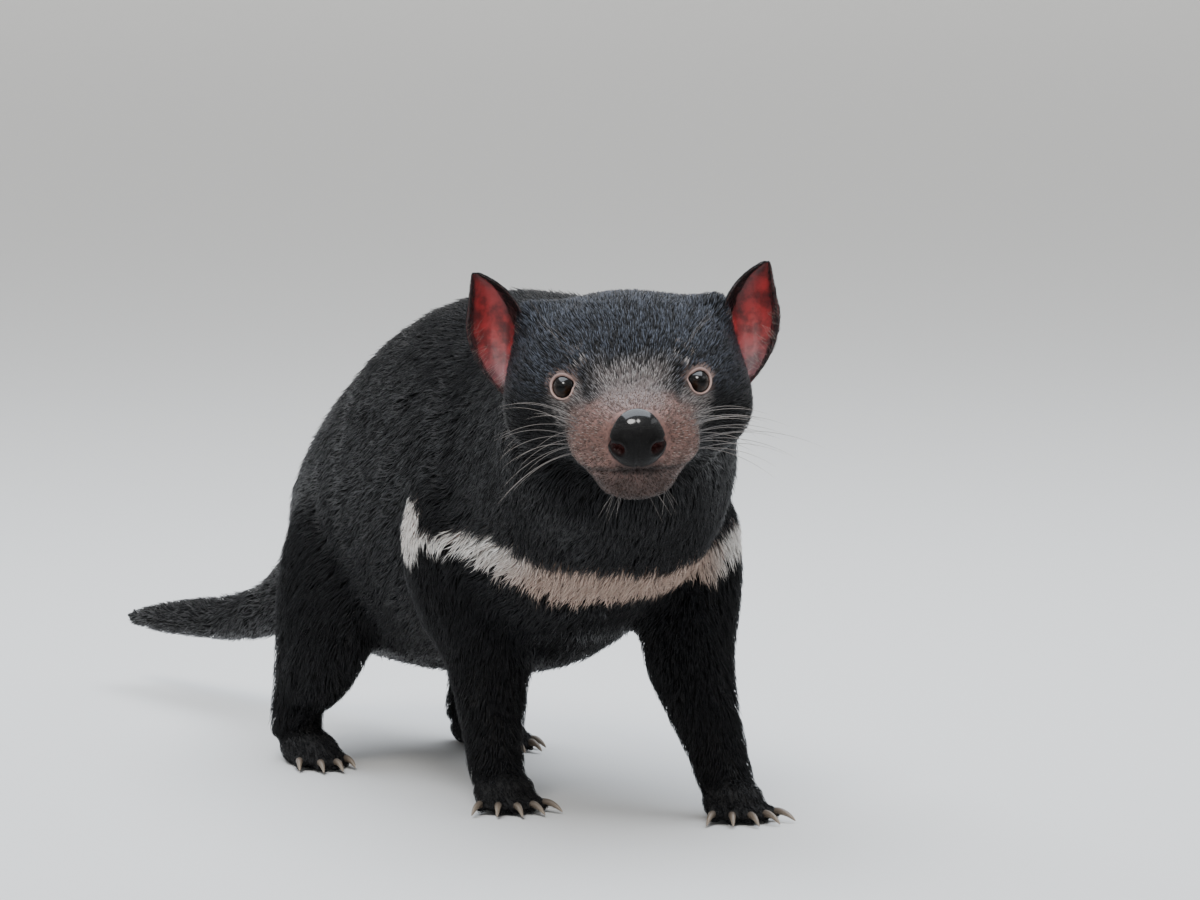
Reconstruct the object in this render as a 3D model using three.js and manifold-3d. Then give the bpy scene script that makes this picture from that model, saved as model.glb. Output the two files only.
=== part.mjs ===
// A life-size model of a Tasmanian devil (Sarcophilus harrisii), standing with its
// left forefoot forward and its head turned to its right.
// Units are millimetres, +Z is up and the animal's body points along -Y, so its left is +X.
// Every part of the body is a loft of rounded sections. Parts that touch keep a thin seam.
import * as THREE from "three";
import { mergeVertices } from "three/addons/utils/BufferGeometryUtils.js";
import Module from "manifold-3d";

const wasm = await Module();
wasm.setup();

// Driving dimensions of the whole animal.
const SEAM = 0.3; // gap kept between parts that touch
const EYE_RADIUS = 7.4;
const EYE_APART = 33.5; // each eye's centre from the middle of the face
const HEAD_YAW = 24.5; // degrees that the face is turned to the animal's right
const HEAD_ROLL = 2.1; // degrees that the head leans to its right
const FLOOR_CUT = 22; // height at which a paw is parted from its leg
const BIG = 1000; // larger than the animal, for cutting blocks

const { PI, sin, cos, sqrt, exp } = Math;
const v3 = (x, y, z) => new THREE.Vector3(x, y, z);
const radians = THREE.MathUtils.degToRad;

// Solids

// A closed geometry as a solid that can be joined and cut.
function solidOf(geometry) {
  const bare = new THREE.BufferGeometry();
  bare.setAttribute("position", geometry.getAttribute("position"));
  if (geometry.index) bare.setIndex(geometry.index);
  const merged = mergeVertices(bare, 1e-4);
  return new wasm.Manifold(
    new wasm.Mesh({
      numProp: 3,
      vertProperties: merged.attributes.position.array,
      triVerts: new Uint32Array(merged.index.array),
    }),
  );
}

// A solid's surface as a geometry. Only its largest closed surface is kept.
function geometryOf(solid) {
  const bodies = solid.decompose();
  bodies.sort((a, b) => b.volume() - a.volume());
  const mesh = bodies[0].getMesh();
  const geometry = new THREE.BufferGeometry();
  const points = new Float32Array(mesh.numVert * 3);
  for (let i = 0; i < mesh.numVert; i++)
    points.set(mesh.vertProperties.subarray(i * mesh.numProp, i * mesh.numProp + 3), i * 3);
  geometry.setAttribute("position", new THREE.BufferAttribute(points, 3));
  geometry.setIndex(new THREE.BufferAttribute(new Uint32Array(mesh.triVerts), 1));
  geometry.computeVertexNormals();
  return geometry;
}

const joined = (solids) => solids.reduce((a, b) => a.add(b));

// A closed skin over rings of points. A fan to the middle of the ring closes each end.
function skinOver(rings) {
  const sides = rings[0].length;
  const middle = (ring) =>
    ring.reduce((sum, p) => sum.add(p), v3(0, 0, 0)).divideScalar(sides);
  const points = [...rings.flat(), middle(rings[0]), middle(rings.at(-1))];
  const first = points.length - 2;
  const last = points.length - 1;
  const end = (rings.length - 1) * sides;
  const faces = [];
  for (let j = 0; j < sides; j++) {
    const next = (j + 1) % sides;
    faces.push(first, next, j, last, end + j, end + next);
    for (let i = 0; i < rings.length - 1; i++) {
      const a = i * sides + j;
      const b = i * sides + next;
      faces.push(a, b, b + sides, a, b + sides, a + sides);
    }
  }
  const geometry = new THREE.BufferGeometry().setFromPoints(points);
  geometry.setIndex(faces);
  const solid = solidOf(geometry);
  if (solid.volume() > 0) return solid;
  for (let i = 0; i < faces.length; i += 3)
    [faces[i + 1], faces[i + 2]] = [faces[i + 2], faces[i + 1]];
  geometry.setIndex(faces);
  return solidOf(geometry);
}

// One rounded section: half as wide as wide, reaching top and bottom along the lift
// direction. power is 2 for an ellipse and more for a boxier outline.
function section(at, side, lift, { wide, top, bottom }, sides, power) {
  const round = (value) => Math.sign(value) * Math.abs(value) ** (2 / power);
  return Array.from({ length: sides }, (_, j) => {
    const angle = (2 * PI * j) / sides;
    const across = round(cos(angle)) * wide;
    const along = round(sin(angle)) * (sin(angle) > 0 ? top : bottom);
    return at.clone().addScaledVector(side, across).addScaledVector(lift, along);
  });
}

// How far along its length each ring of a rounded end lies, from the tip.
const ROUND_STEPS = [0.15, 0.45, 0.75];
const SMALL_STEPS = [0.3];

// A loft along a curve through stations [place, half width, reach towards lift, reach away].
// caps are the lengths of its two rounded ends, grow swells it all round, and shape moves
// each point of the finished rings.
function sweep(
  stations,
  { lift, rings, sides, caps = [12, 12], steps = ROUND_STEPS, power = 2, grow = 0, shape },
) {
  const path = new THREE.CatmullRomCurve3(stations.map(([at]) => at));
  const sizes = new THREE.CatmullRomCurve3(
    stations.map(([, wide, top, bottom]) => v3(wide, top, bottom)),
  );
  const ringAt = (share, scale, shift) => {
    const tangent = path.getTangent(share);
    const side = tangent.clone().cross(lift).normalize();
    const up = side.clone().cross(tangent).normalize();
    const size = sizes.getPoint(share);
    const at = path.getPoint(share).addScaledVector(tangent, shift);
    const reach = {
      wide: (size.x + grow) * scale,
      top: (size.y + grow) * scale,
      bottom: (size.z + grow) * scale,
    };
    return section(at, side, up, reach, sides, power);
  };
  const capRings = (share, length, way) =>
    steps.map((step) => {
      const scale = sqrt(1 - (1 - step) ** 2);
      return ringAt(share, scale, way * (length + grow) * (1 - step));
    });
  const body = Array.from({ length: rings }, (_, i) => ringAt(i / (rings - 1), 1, 0));
  const all = [...capRings(0, caps[0], -1), ...body, ...capRings(1, caps[1], 1).reverse()];
  return skinOver(shape ? all.map((ring) => ring.map(shape)) : all);
}

// A ball stretched to half sizes, turned about Z and then placed.
function ball(at, half, { turn = 0, grow = 0, wide = 16, high = 10 } = {}) {
  const geometry = new THREE.SphereGeometry(1, wide, high);
  geometry.scale(half.x + grow, half.y + grow, half.z + grow);
  geometry.rotateZ(radians(turn));
  geometry.translate(at.x, at.y, at.z);
  return solidOf(geometry);
}

// A block from low to high corners.
function block(low, high) {
  const size = high.clone().sub(low);
  const middle = low.clone().add(high).divideScalar(2);
  return solidOf(
    new THREE.BoxGeometry(size.x, size.y, size.z).translate(middle.x, middle.y, middle.z),
  );
}

// Trunk: one loft from the rump to inside the head, parted at the base of the neck.
const TRUNK = [
  [v3(0, 286, 111), 31, 35, 40],
  [v3(0, 266, 116), 45, 53, 58],
  [v3(0, 234, 126), 55, 69, 76],
  [v3(0, 190, 140), 64, 84, 89],
  [v3(0, 120, 157), 73, 104, 101],
  [v3(0, 60, 170), 77, 106, 106],
  [v3(0, 10, 181), 78, 98, 98],
  [v3(-5, -38, 193), 74, 86, 86],
  [v3(-17, -80, 204), 69, 72, 74],
  [v3(-38, -122, 213), 57, 53, 55],
];
const trunk = sweep(TRUNK, {
  lift: v3(0, 0, 1),
  rings: 18,
  sides: 24,
  caps: [20, 34],
  power: 2.15,
});
const NECK_BASE = { y: -36, tilt: 22 }; // where and how steeply the neck is parted off

function frontOf(y, tilt) {
  const geometry = new THREE.BoxGeometry(BIG, BIG, BIG);
  geometry.translate(0, -BIG / 2, 0);
  geometry.rotateX(radians(-tilt));
  geometry.translate(0, y, TRUNK[7][0].z);
  return solidOf(geometry);
}

// Tail: a thick root that droops from the rump and a tip just above the floor.
const TAIL = [
  [v3(0, 280, 121), 26, 26, 26],
  [v3(-1, 322, 96), 21, 21, 21],
  [v3(-3, 364, 70), 18, 18, 18],
  [v3(-6, 408, 57), 15.5, 15.5, 15.5],
  [v3(-10, 454, 51), 13.5, 13.5, 13.5],
  [v3(-14, 500, 46), 11, 11, 11],
  [v3(-17, 546, 41), 6, 6, 6],
];
const TAIL_SPLIT_Y = 420; // the tail is parted into two lengths here

const tailLoft = (grow = 0) =>
  sweep(TAIL, { lift: v3(0, 0, 1), rings: 15, sides: 12, caps: [14, 9], grow });

// Legs: each is a loft from inside the trunk to the ankle, with a paw of toes and claws.
const FORELEG_RIGHT = [
  [v3(-50, 18, 186), 24, 34, 34],
  [v3(-59, 26, 150), 26, 35, 36],
  [v3(-49, 30, 114), 28, 30, 31],
  [v3(-36, 28, 86), 26, 25, 27],
  [v3(-35, 25, 58), 20.5, 20, 21],
  [v3(-36, 20, 34), 17, 16, 16],
  [v3(-37, 13, 14), 15, 15, 14],
];
const FORELEG_LEFT = [
  [v3(52, -4, 186), 24, 34, 34],
  [v3(61, -20, 150), 26, 36, 36],
  [v3(55, -34, 114), 28, 30, 31],
  [v3(48, -46, 86), 26, 25, 27],
  [v3(51, -56, 58), 20.5, 20, 21],
  [v3(56, -64, 34), 17, 16, 16],
  [v3(58, -72, 14), 15, 15, 14],
];
const hindleg = (side, forward) => [
  [v3(side * 34, 222 - forward * 0.2, 140), 26, 40, 34],
  [v3(side * 45, 222 - forward * 0.5, 110), 27, 50, 38],
  [v3(side * 53, 228 - forward * 0.8, 80), 25, 56, 34],
  [v3(side * 57, 241 - forward, 56), 20, 42, 23],
  [v3(side * 59, 251 - forward, 36), 15, 24, 16],
  [v3(side * 59, 255 - forward, 16), 14, 18, 12],
];
const HIND_STEP = { right: 28, left: 10 }; // how far forward each hind foot is set

const legLoft = (stations, grow = 0) =>
  sweep(stations, { lift: v3(0, -1, 0), rings: 12, sides: 15, caps: [12, 8], grow });

// One toe with its claw. The claw's root is sunk in the toe and its tip clears the floor.
function toe({ root, angle, length, thick, claw }) {
  const way = v3(sin(radians(angle)), -cos(radians(angle)), 0);
  const along = (distance, height) => root.clone().addScaledVector(way, distance).setZ(height);
  const flesh = sweep(
    [
      [along(-length * 0.35, thick * 1.05), thick * 0.85, thick, thick * 0.95],
      [along(length * 0.35, thick * 1.25), thick, thick, thick],
      [along(length, thick * 0.8), thick * 0.92, thick * 0.9, thick],
    ],
    {
      lift: v3(0, 0, 1),
      rings: 3,
      sides: 6,
      caps: [thick * 0.7, thick * 0.7],
      steps: SMALL_STEPS,
    },
  );
  const start = length + thick * 0.2;
  const horn = sweep(
    [
      [along(start - 2, thick * 1.15), 2, 2.4, 2.4],
      [along(start + claw * 0.5, thick * 1.1), 1.6, 2, 2],
      [along(start + claw * 0.85, thick * 0.7), 1, 1.2, 1.2],
      [along(start + claw, thick * 0.3), 0.5, 0.5, 0.5],
    ],
    { lift: v3(0, 0, 1), rings: 3, sides: 5, caps: [1, 0.6], steps: SMALL_STEPS },
  );
  return flesh.add(horn);
}

// A paw: a palm and a fan of toes, all cut flat where they stand on the floor.
function paw({ at, turn, palm, toes, spread, length, thick, claw }) {
  const parts = [ball(at, palm, { turn, wide: 12, high: 8 })];
  const middle = (toes - 1) / 2;
  for (let i = 0; i < toes; i++) {
    const offset = (i - middle) / middle;
    const angle = turn + offset * spread;
    const across = v3(cos(radians(turn)), sin(radians(turn)), 0);
    const ahead = v3(sin(radians(turn)), -cos(radians(turn)), 0);
    const root = at
      .clone()
      .addScaledVector(across, offset * palm.x * 0.66)
      .addScaledVector(ahead, palm.y * (0.72 - 0.3 * offset * offset));
    const inner = 1 - 0.18 * Math.abs(offset);
    parts.push(toe({ root, angle, length: length * inner, thick, claw }));
  }
  return joined(parts);
}

const FOREPAW = {
  palm: v3(18, 19, 14),
  toes: 5,
  spread: 34,
  length: 13,
  thick: 5,
  claw: 11,
};
const HINDPAW = {
  palm: v3(16, 34, 13),
  toes: 4,
  spread: 16,
  length: 13,
  thick: 5,
  claw: 8,
};
const LEGS = {
  foreleg_right: {
    stations: FORELEG_RIGHT,
    paw: "forepaw_right",
    foot: { ...FOREPAW, at: v3(-37, 5, 9), turn: -12 },
  },
  foreleg_left: {
    stations: FORELEG_LEFT,
    paw: "forepaw_left",
    foot: { ...FOREPAW, at: v3(57, -80, 9), turn: -8 },
  },
  hindleg_right: {
    stations: hindleg(-1, HIND_STEP.right),
    paw: "hindpaw_right",
    foot: { ...HINDPAW, at: v3(-60, 232 - HIND_STEP.right, 8), turn: -8 },
  },
  hindleg_left: {
    stations: hindleg(1, HIND_STEP.left),
    paw: "hindpaw_left",
    foot: { ...HINDPAW, at: v3(60, 232 - HIND_STEP.left, 8), turn: 8 },
  },
};
const aboveFloor = block(v3(-BIG, -BIG, 0), v3(BIG, BIG, FLOOR_CUT));
const aboveCut = block(v3(-BIG, -BIG, FLOOR_CUT + SEAM), v3(BIG, BIG, BIG));

// Head, in a frame of its own: X to the animal's left, Y forwards, Z up, and its origin
// midway between the eyes.
const FACE_AT = v3(-47.2, -161.4, 244);
const headPlace = new THREE.Matrix4()
  .makeRotationZ(radians(180 - HEAD_YAW))
  .premultiply(new THREE.Matrix4().makeTranslation(FACE_AT.x, FACE_AT.y, FACE_AT.z))
  .multiply(new THREE.Matrix4().makeRotationY(radians(HEAD_ROLL)))
  .multiply(new THREE.Matrix4().makeScale(-1, 1, 1));

const placed = (solid) => solid.transform(headPlace.elements);

const HEAD = [
  [v3(0, -84, -6), 46, 36, 34],
  [v3(0, -62, -4), 57, 45, 43],
  [v3(0, -40, -3), 61, 49, 48],
  [v3(0, -20, -4), 59, 47, 48],
  [v3(0, -4, -8), 51, 41, 46],
  [v3(0, 7, -13), 41, 34, 42],
  [v3(0, 17, -18), 35.5, 28, 37],
  [v3(0, 28, -21.5), 32, 24, 34],
  [v3(0, 39, -23), 31, 21.5, 32],
  [v3(0, 49, -23.5), 28, 20, 28.5],
  [v3(0, 57, -23.5), 22, 16.5, 23],
];
// Soft swellings and hollows of the face. Each one pushes the skin within reach of it, and
// fades with distance. Those off the midline are there on both sides.
const SWELLS = [
  { at: v3(26, 15, 12), reach: 8, push: v3(0, 3, 2.5) }, // brow
  { at: v3(27, 20, 0), reach: 7, push: v3(-1, -4, 0) }, // inner corner of the eye
  { at: v3(41, 4, 0), reach: 8, push: v3(2, 4, 0) }, // outer corner of the eye
  { at: v3(52, -22, -22), reach: 20, push: v3(8, 3, -3) }, // cheek
  { at: v3(50, -52, 32), reach: 12, push: v3(6, -2, 11) }, // root of the ear
  { at: v3(29, 37, -31), reach: 11, push: v3(2.5, 2, -1) }, // whisker pad
  { at: v3(0, 22, 8), reach: 12, push: v3(0, 0, -1) }, // dip between brow and muzzle
  { at: v3(0, 62, -54), reach: 16, push: v3(0, -12, -3.5) }, // chin, set back under the lip
  { at: v3(0, 20, -56), reach: 20, push: v3(0, 0, 3) }, // throat between the jaws
];
const mirrored = (p, side) => v3(p.x * side, p.y, p.z);
function swell(p) {
  const moved = p.clone();
  for (const { at, reach, push } of SWELLS)
    for (const side of at.x ? [-1, 1] : [1]) {
      const far = p.distanceTo(mirrored(at, side)) / reach;
      moved.addScaledVector(mirrored(push, side), exp((-far * far) / 2));
    }
  return moved;
}
const headLoft = (grow = 0) =>
  sweep(HEAD, {
    lift: v3(0, 0, 1),
    rings: 22,
    sides: 34,
    caps: [16, 8],
    power: 2.1,
    grow,
    shape: swell,
  });

// Eyes sit in lidded rims that face forwards and outwards.
const EYE_AT = v3(EYE_APART, 13.2, 1.2);
const EYE_OUT = 22; // degrees that each eye looks away from straight ahead
const eyeBall = (side, grow = 0) =>
  ball(mirrored(EYE_AT, side), v3(EYE_RADIUS, EYE_RADIUS, EYE_RADIUS), {
    grow,
    wide: 14,
    high: 9,
  });
function lids(side) {
  const ring = new THREE.TorusGeometry(EYE_RADIUS * 1.04, 2, 7, 16);
  ring.rotateX(PI / 2);
  ring.translate(0, 3, 0);
  ring.rotateZ(radians(-side * EYE_OUT));
  const at = mirrored(EYE_AT, side);
  ring.translate(at.x, at.y, at.z);
  return solidOf(ring);
}

// Nose pad with its two nostrils, which open forwards and run out sideways.
const NOSE = { at: v3(0, 59.5, -20.5), half: v3(15, 12, 15) };
const NOSTRIL = { at: v3(10, 67.5, -24), half: v3(4.2, 6, 3) };
const PHILTRUM = { at: v3(0, 67, -35.5), half: v3(0.9, 6, 6) }; // groove from nose to lip
const noseBall = (grow = 0) => ball(NOSE.at, NOSE.half, { grow, wide: 18, high: 11 });
function nostrils() {
  return joined(
    [-1, 1].map((side) =>
      ball(mirrored(NOSTRIL.at, side), NOSTRIL.half, { turn: side * -35, wide: 8, high: 6 }),
    ),
  );
}

// The mouth line runs from under the nose to below the eye, and the jaw is what lies under.
const MOUTH = {
  front: -38.5,
  back: { y: 16, z: -34 },
  hinge: { y: 2, z: -46 },
  throat: { y: -6, z: -80 },
  gap: 0.6,
  overhang: 0.9, // how far the upper lip stands out over the lower one
};
function jawBlock(gap) {
  const outline = new THREE.Shape();
  outline.moveTo(100, MOUTH.front + gap);
  outline.lineTo(50, MOUTH.front + gap);
  outline.quadraticCurveTo(36, MOUTH.front - 1 + gap, MOUTH.back.y, MOUTH.back.z + gap);
  outline.lineTo(MOUTH.hinge.y - gap, MOUTH.hinge.z + gap);
  outline.lineTo(MOUTH.throat.y - gap, MOUTH.throat.z);
  outline.lineTo(100, MOUTH.throat.z);
  const geometry = new THREE.ExtrudeGeometry(outline, {
    depth: 160,
    bevelEnabled: false,
    curveSegments: 6,
  });
  // The outline's own axes are the head's Y and Z, and its depth is the head's X.
  geometry.applyMatrix4(
    new THREE.Matrix4().makeBasis(v3(0, 1, 0), v3(0, 0, 1), v3(1, 0, 0)),
  );
  geometry.translate(-80, 0, 0);
  return solidOf(geometry);
}

// Ears: leaf-shaped cups that stand off the sides of the skull and open forwards.
// outline holds [height, distance of the leaf's middle from the head's, half breadth].
const EAR = {
  outline: [
    [-4, 65.5, 2],
    [3, 65.5, 8],
    [11, 66, 12.5],
    [20, 66.5, 15.3],
    [29, 66.7, 16.2],
    [37, 67, 14.6],
    [45, 69, 11],
    [51, 72, 6.8],
    [55.5, 75.5, 2],
  ],
  foot: -38, // how far behind the eyes the ear's foot stands
  lean: 12, // how much farther back its tip lies
  cup: 0.85, // depth of the hollow for each millimetre of half breadth
  wall: 2.6,
  spread: 24, // degrees that the opening turns outwards
};
function ear(side, grow = 0) {
  const rows = 11;
  const columns = 7;
  const across = v3(cos(radians(EAR.spread)), -sin(radians(EAR.spread)), 0);
  const facing = v3(sin(radians(EAR.spread)), cos(radians(EAR.spread)), 0);
  const leaf = new THREE.CatmullRomCurve3(EAR.outline.map(([z, x, half]) => v3(x, half, z)));
  const rings = [];
  for (let i = 0; i <= rows; i++) {
    const share = i / rows;
    const { x, y: half, z } = leaf.getPoint(share);
    const deep = EAR.cup * half;
    const wall = EAR.wall * (1 - 0.4 * share) + 2 * grow;
    const middle = v3(x, EAR.foot - EAR.lean * share, z + (i === rows ? grow : 0));
    const point = (t, breadth, sink) =>
      mirrored(
        middle.clone().addScaledVector(across, breadth * t).addScaledVector(facing, -sink),
        side,
      );
    const inner = [];
    const outer = [];
    for (let j = 0; j <= columns; j++) {
      const t = (2 * j) / columns - 1;
      const hollow = 1 - t * t;
      const slope = Math.hypot(1, 2 * EAR.cup * t);
      inner.push(point(t, half, deep * hollow - grow * slope));
      outer.unshift(point(t, half + grow + wall * 0.3, (deep + wall) * hollow + wall * 0.5));
    }
    rings.push([...inner, ...outer]);
  }
  return skinOver(rings);
}

// Assembly

const sides = { right: -1, left: 1 };
let skull = joined([headLoft(), lids(-1), lids(1)]);
for (const side of Object.values(sides))
  skull = skull.subtract(eyeBall(side, SEAM)).subtract(ear(side, SEAM));
skull = skull.subtract(noseBall(SEAM));

const philtrum = ball(PHILTRUM.at, PHILTRUM.half, { wide: 8, high: 6 });
const chin = headLoft(-MOUTH.overhang).subtract(noseBall(SEAM));
const nodes = {
  head: placed(skull.subtract(jawBlock(MOUTH.gap)).subtract(philtrum)),
  jaw: placed(chin.intersect(jawBlock(0))),
  nose: placed(noseBall().subtract(nostrils())),
};
for (const [name, side] of Object.entries(sides)) {
  nodes[`ear_${name}`] = placed(ear(side));
  nodes[`eye_${name}`] = placed(eyeBall(side));
}

const roots = [tailLoft(SEAM)];
for (const [name, leg] of Object.entries(LEGS)) {
  const limb = legLoft(leg.stations).add(paw(leg.foot));
  nodes[name] = limb.intersect(aboveCut);
  nodes[leg.paw] = limb.intersect(aboveFloor);
  roots.push(legLoft(leg.stations, SEAM));
}
const front = frontOf(NECK_BASE.y, NECK_BASE.tilt);
const bare = trunk.subtract(joined(roots));
nodes.torso = bare.subtract(frontOf(NECK_BASE.y + SEAM, NECK_BASE.tilt));
const headRoom = [headLoft(SEAM), ear(-1, SEAM), ear(1, SEAM)];
nodes.neck = bare.intersect(front).subtract(placed(joined(headRoom)));

const tail = tailLoft();
nodes.tail_base = tail.intersect(
  block(v3(-BIG, -BIG, -BIG), v3(BIG, TAIL_SPLIT_Y, BIG)),
);
nodes.tail_tip = tail.intersect(
  block(v3(-BIG, TAIL_SPLIT_Y + SEAM, -BIG), v3(BIG, BIG, BIG)),
);

// Colours: black fur except on the bare parts of the head.
const FUR = { color: 0x17171a, roughness: 0.75 };
const EAR_SKIN = { color: 0xa83a3e, roughness: 0.6 };
const EYE = { color: 0x0c0806, roughness: 0.05 };
const LOOKS = {
  nose: { color: 0x141417, roughness: 0.25 },
  jaw: { color: 0x8a5f58, roughness: 0.6 },
  ear_right: EAR_SKIN,
  ear_left: EAR_SKIN,
  eye_right: EYE,
  eye_left: EYE,
};

const animal = new THREE.Group();
const box = new THREE.Box3();
for (const [name, solid] of Object.entries(nodes)) {
  const material = new THREE.MeshStandardMaterial(LOOKS[name] ?? FUR);
  const mesh = new THREE.Mesh(geometryOf(solid), material);
  mesh.name = name;
  mesh.geometry.computeBoundingBox();
  box.union(mesh.geometry.boundingBox);
  animal.add(mesh);
}
// The origin is on the floor under the middle of the animal's box.
const middle = box.getCenter(v3(0, 0, 0));
animal.position.set(-middle.x, -middle.y, 0);

export default animal;
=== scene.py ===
import math

import bmesh
import bpy
import numpy as np
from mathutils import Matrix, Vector
from mathutils.bvhtree import BVHTree


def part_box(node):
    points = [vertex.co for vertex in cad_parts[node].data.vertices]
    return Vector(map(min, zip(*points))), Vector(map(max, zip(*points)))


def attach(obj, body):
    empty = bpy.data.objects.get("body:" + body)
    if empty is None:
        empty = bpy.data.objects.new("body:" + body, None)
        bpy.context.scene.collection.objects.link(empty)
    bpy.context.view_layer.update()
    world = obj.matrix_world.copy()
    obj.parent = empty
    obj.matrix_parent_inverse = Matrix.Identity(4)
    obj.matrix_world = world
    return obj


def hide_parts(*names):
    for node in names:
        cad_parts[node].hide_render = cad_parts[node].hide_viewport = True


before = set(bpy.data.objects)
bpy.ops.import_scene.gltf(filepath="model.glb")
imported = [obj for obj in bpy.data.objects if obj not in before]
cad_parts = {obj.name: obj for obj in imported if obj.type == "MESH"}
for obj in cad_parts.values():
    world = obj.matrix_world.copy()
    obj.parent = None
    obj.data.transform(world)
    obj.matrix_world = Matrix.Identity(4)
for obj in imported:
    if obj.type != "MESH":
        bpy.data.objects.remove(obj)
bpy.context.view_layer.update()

# The camera looks up the animal's right side from a little above its head, through a long
# lens. Places on the body are given in millimetres from a point on the floor below the
# chest, X to the animal's left and Y to its tail, which the solids of the eyes locate.
MM = 0.001
EYES_ON_BODY = np.array((-52.7, -173.4, 245.2))
LOOKED_AT = (14.3, -7.3, 192.5)
CAMERA_TURN, CAMERA_RISE = math.radians(-27), math.radians(6)
CAMERA_FAR, LENS, SENSOR = 4.0, 224, 36
SIDES = {"right": -1, "left": 1}


def middle_of(node):
    low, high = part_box(node)
    return (np.array(low) + np.array(high)) / 2


eye_at = {side: middle_of(f"eye_{name}") for name, side in SIDES.items()}
between_eyes = (eye_at[-1] + eye_at[1]) / 2
home = between_eyes - EYES_ON_BODY * MM


def on_body(*place):
    return home + np.array(place) * MM


def add_camera():
    level = math.cos(CAMERA_RISE)
    away = Vector((math.sin(CAMERA_TURN) * level, -math.cos(CAMERA_TURN) * level,
                   math.sin(CAMERA_RISE)))
    data = bpy.data.cameras.new("camera")
    data.lens, data.sensor_width = LENS, SENSOR
    data.clip_end = 30
    camera = bpy.data.objects.new("camera", data)
    camera.location = Vector(on_body(*LOOKED_AT)) + away * CAMERA_FAR
    camera.rotation_euler = away.to_track_quat("Z", "Y").to_euler()
    bpy.context.scene.collection.objects.link(camera)
    bpy.context.scene.camera = camera


add_camera()

# The skin is one unbroken surface over skull, trunk, legs and tail. It lies inside the
# solids by the depth of the coat that covers it, and is finest where the face is nearly bare.
FLESH = ["head", "jaw", "neck", "torso", "tail_base", "tail_tip"]
FLESH += [f"{leg}_{side}" for leg in ("foreleg", "hindleg", "forepaw", "hindpaw")
          for side in ("right", "left")]
UNDER_SKIN = FLESH + ["nose", "eye_right", "eye_left"]
HEAD_PARTS = ("head", "jaw", "nose", "eye")
SWELL = 0.5 * MM  # closes the gaps between the solids
VOXEL = 3.1 * MM

# Coat by part of the body, in mm: depth, length of a tuft, its width, distance to the next.
# The bare muzzle and the front of the face have a finer one.
COAT = {
    "head": (2.3, 7.6, 0.44, 1.06),
    "eye": (0.6, 3.0, 0.34, 1.1),
    "nose": (0.4, 2.0, 0.3, 1.4),
    "jaw": (1.4, 4.5, 0.42, 1.25),
    "neck": (5.0, 14.0, 0.68, 1.5),
    "torso": (5.5, 16.0, 0.78, 1.71),
    "tail_base": (4.5, 15.0, 0.74, 1.7),
    "tail_tip": (3.6, 14.0, 0.7, 1.6),
    "foreleg": (3.0, 10.0, 0.62, 1.45),
    "hindleg": (4.0, 12.0, 0.68, 1.6),
    "forepaw": (1.3, 4.6, 0.45, 1.3),
    "hindpaw": (1.3, 4.6, 0.45, 1.3),
}
MUZZLE_COAT = (0.7, 2.6, 0.32, 1.02)
FACE_COAT = (1.2, 4.6, 0.35, 0.88)
# Way the hair lies, by part of the body. On the head it runs back from the nose instead.
LIE = {
    "neck": (0, 0.75, -0.75),
    "torso": (0, 0.85, -0.5),
    "tail_base": (0, 0.9, -0.45),
    "tail_tip": (0, 1, -0.1),
    "foreleg": (0, 0.25, -1),
    "hindleg": (0, 0.3, -1),
    "forepaw": (0, -0.7, -0.7),
    "hindpaw": (0, -0.7, -0.7),
}

NOSE_ON_FACE = np.array((0, 62, -21.5))
EYES_ON_FACE = np.array((0, 13.2, 1.2))


def unit(v):
    return v / np.maximum(np.linalg.norm(v, axis=-1, keepdims=True), 1e-12)


left_way = unit(eye_at[1] - eye_at[-1])
ahead = unit(np.cross(left_way, (0, 0, 1)))
face_axes = np.stack((left_way, ahead, np.cross(ahead, left_way)))
face_zero = between_eyes - EYES_ON_FACE * MM @ face_axes


def on_face(place):
    """Places in the head's own millimetres (left, forward, up) as places in the scene."""
    return face_zero + np.asarray(place, float) * MM @ face_axes


def to_face(place):
    return (place - face_zero) @ face_axes.T / MM


def read(items, name, width):
    found = np.empty(len(items) * width, np.float32)
    items.foreach_get(name, found)
    return found.reshape(-1, width).astype(float)


def places_of(mesh):
    return read(mesh.vertices, "co", 3)


def normals_of(mesh):
    return read(mesh.vertex_normals, "vector", 3)


def set_places(mesh, places):
    mesh.vertices.foreach_set("co", places.astype(np.float32).ravel())
    mesh.update()


def edges_of(mesh):
    found = np.empty(len(mesh.edges) * 2, np.int32)
    mesh.edges.foreach_get("vertices", found)
    return found.reshape(-1, 2)


def spread(values, edges, rounds, share=0.5):
    """Values at the vertices, each drawn towards the mean of its neighbours."""
    a, b = edges.T
    count = len(values)
    near = np.maximum(np.bincount(edges.ravel(), minlength=count), 1)[:, None]
    for _ in range(rounds):
        total = np.stack([
            np.bincount(a, v[b], count) + np.bincount(b, v[a], count) for v in values.T
        ], 1)
        values = values + (total / near - values) * share
    return values


def smoothed(places, edges, rounds):
    """Places with their small bumps gone but their volume kept, by a pull and a push back."""
    for _ in range(rounds):
        places = spread(places, edges, 1, 0.6)
        places = spread(places, edges, 1, -0.62)
    return places


def smooth_out(mesh, rounds):
    set_places(mesh, smoothed(places_of(mesh), edges_of(mesh), rounds))


def step(value, low, high):
    """0 below low and 1 above high, with a soft rise between. High may be the lower one."""
    t = np.clip((value - low) / (high - low), 0, 1)
    return t * t * (3 - 2 * t)


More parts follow.
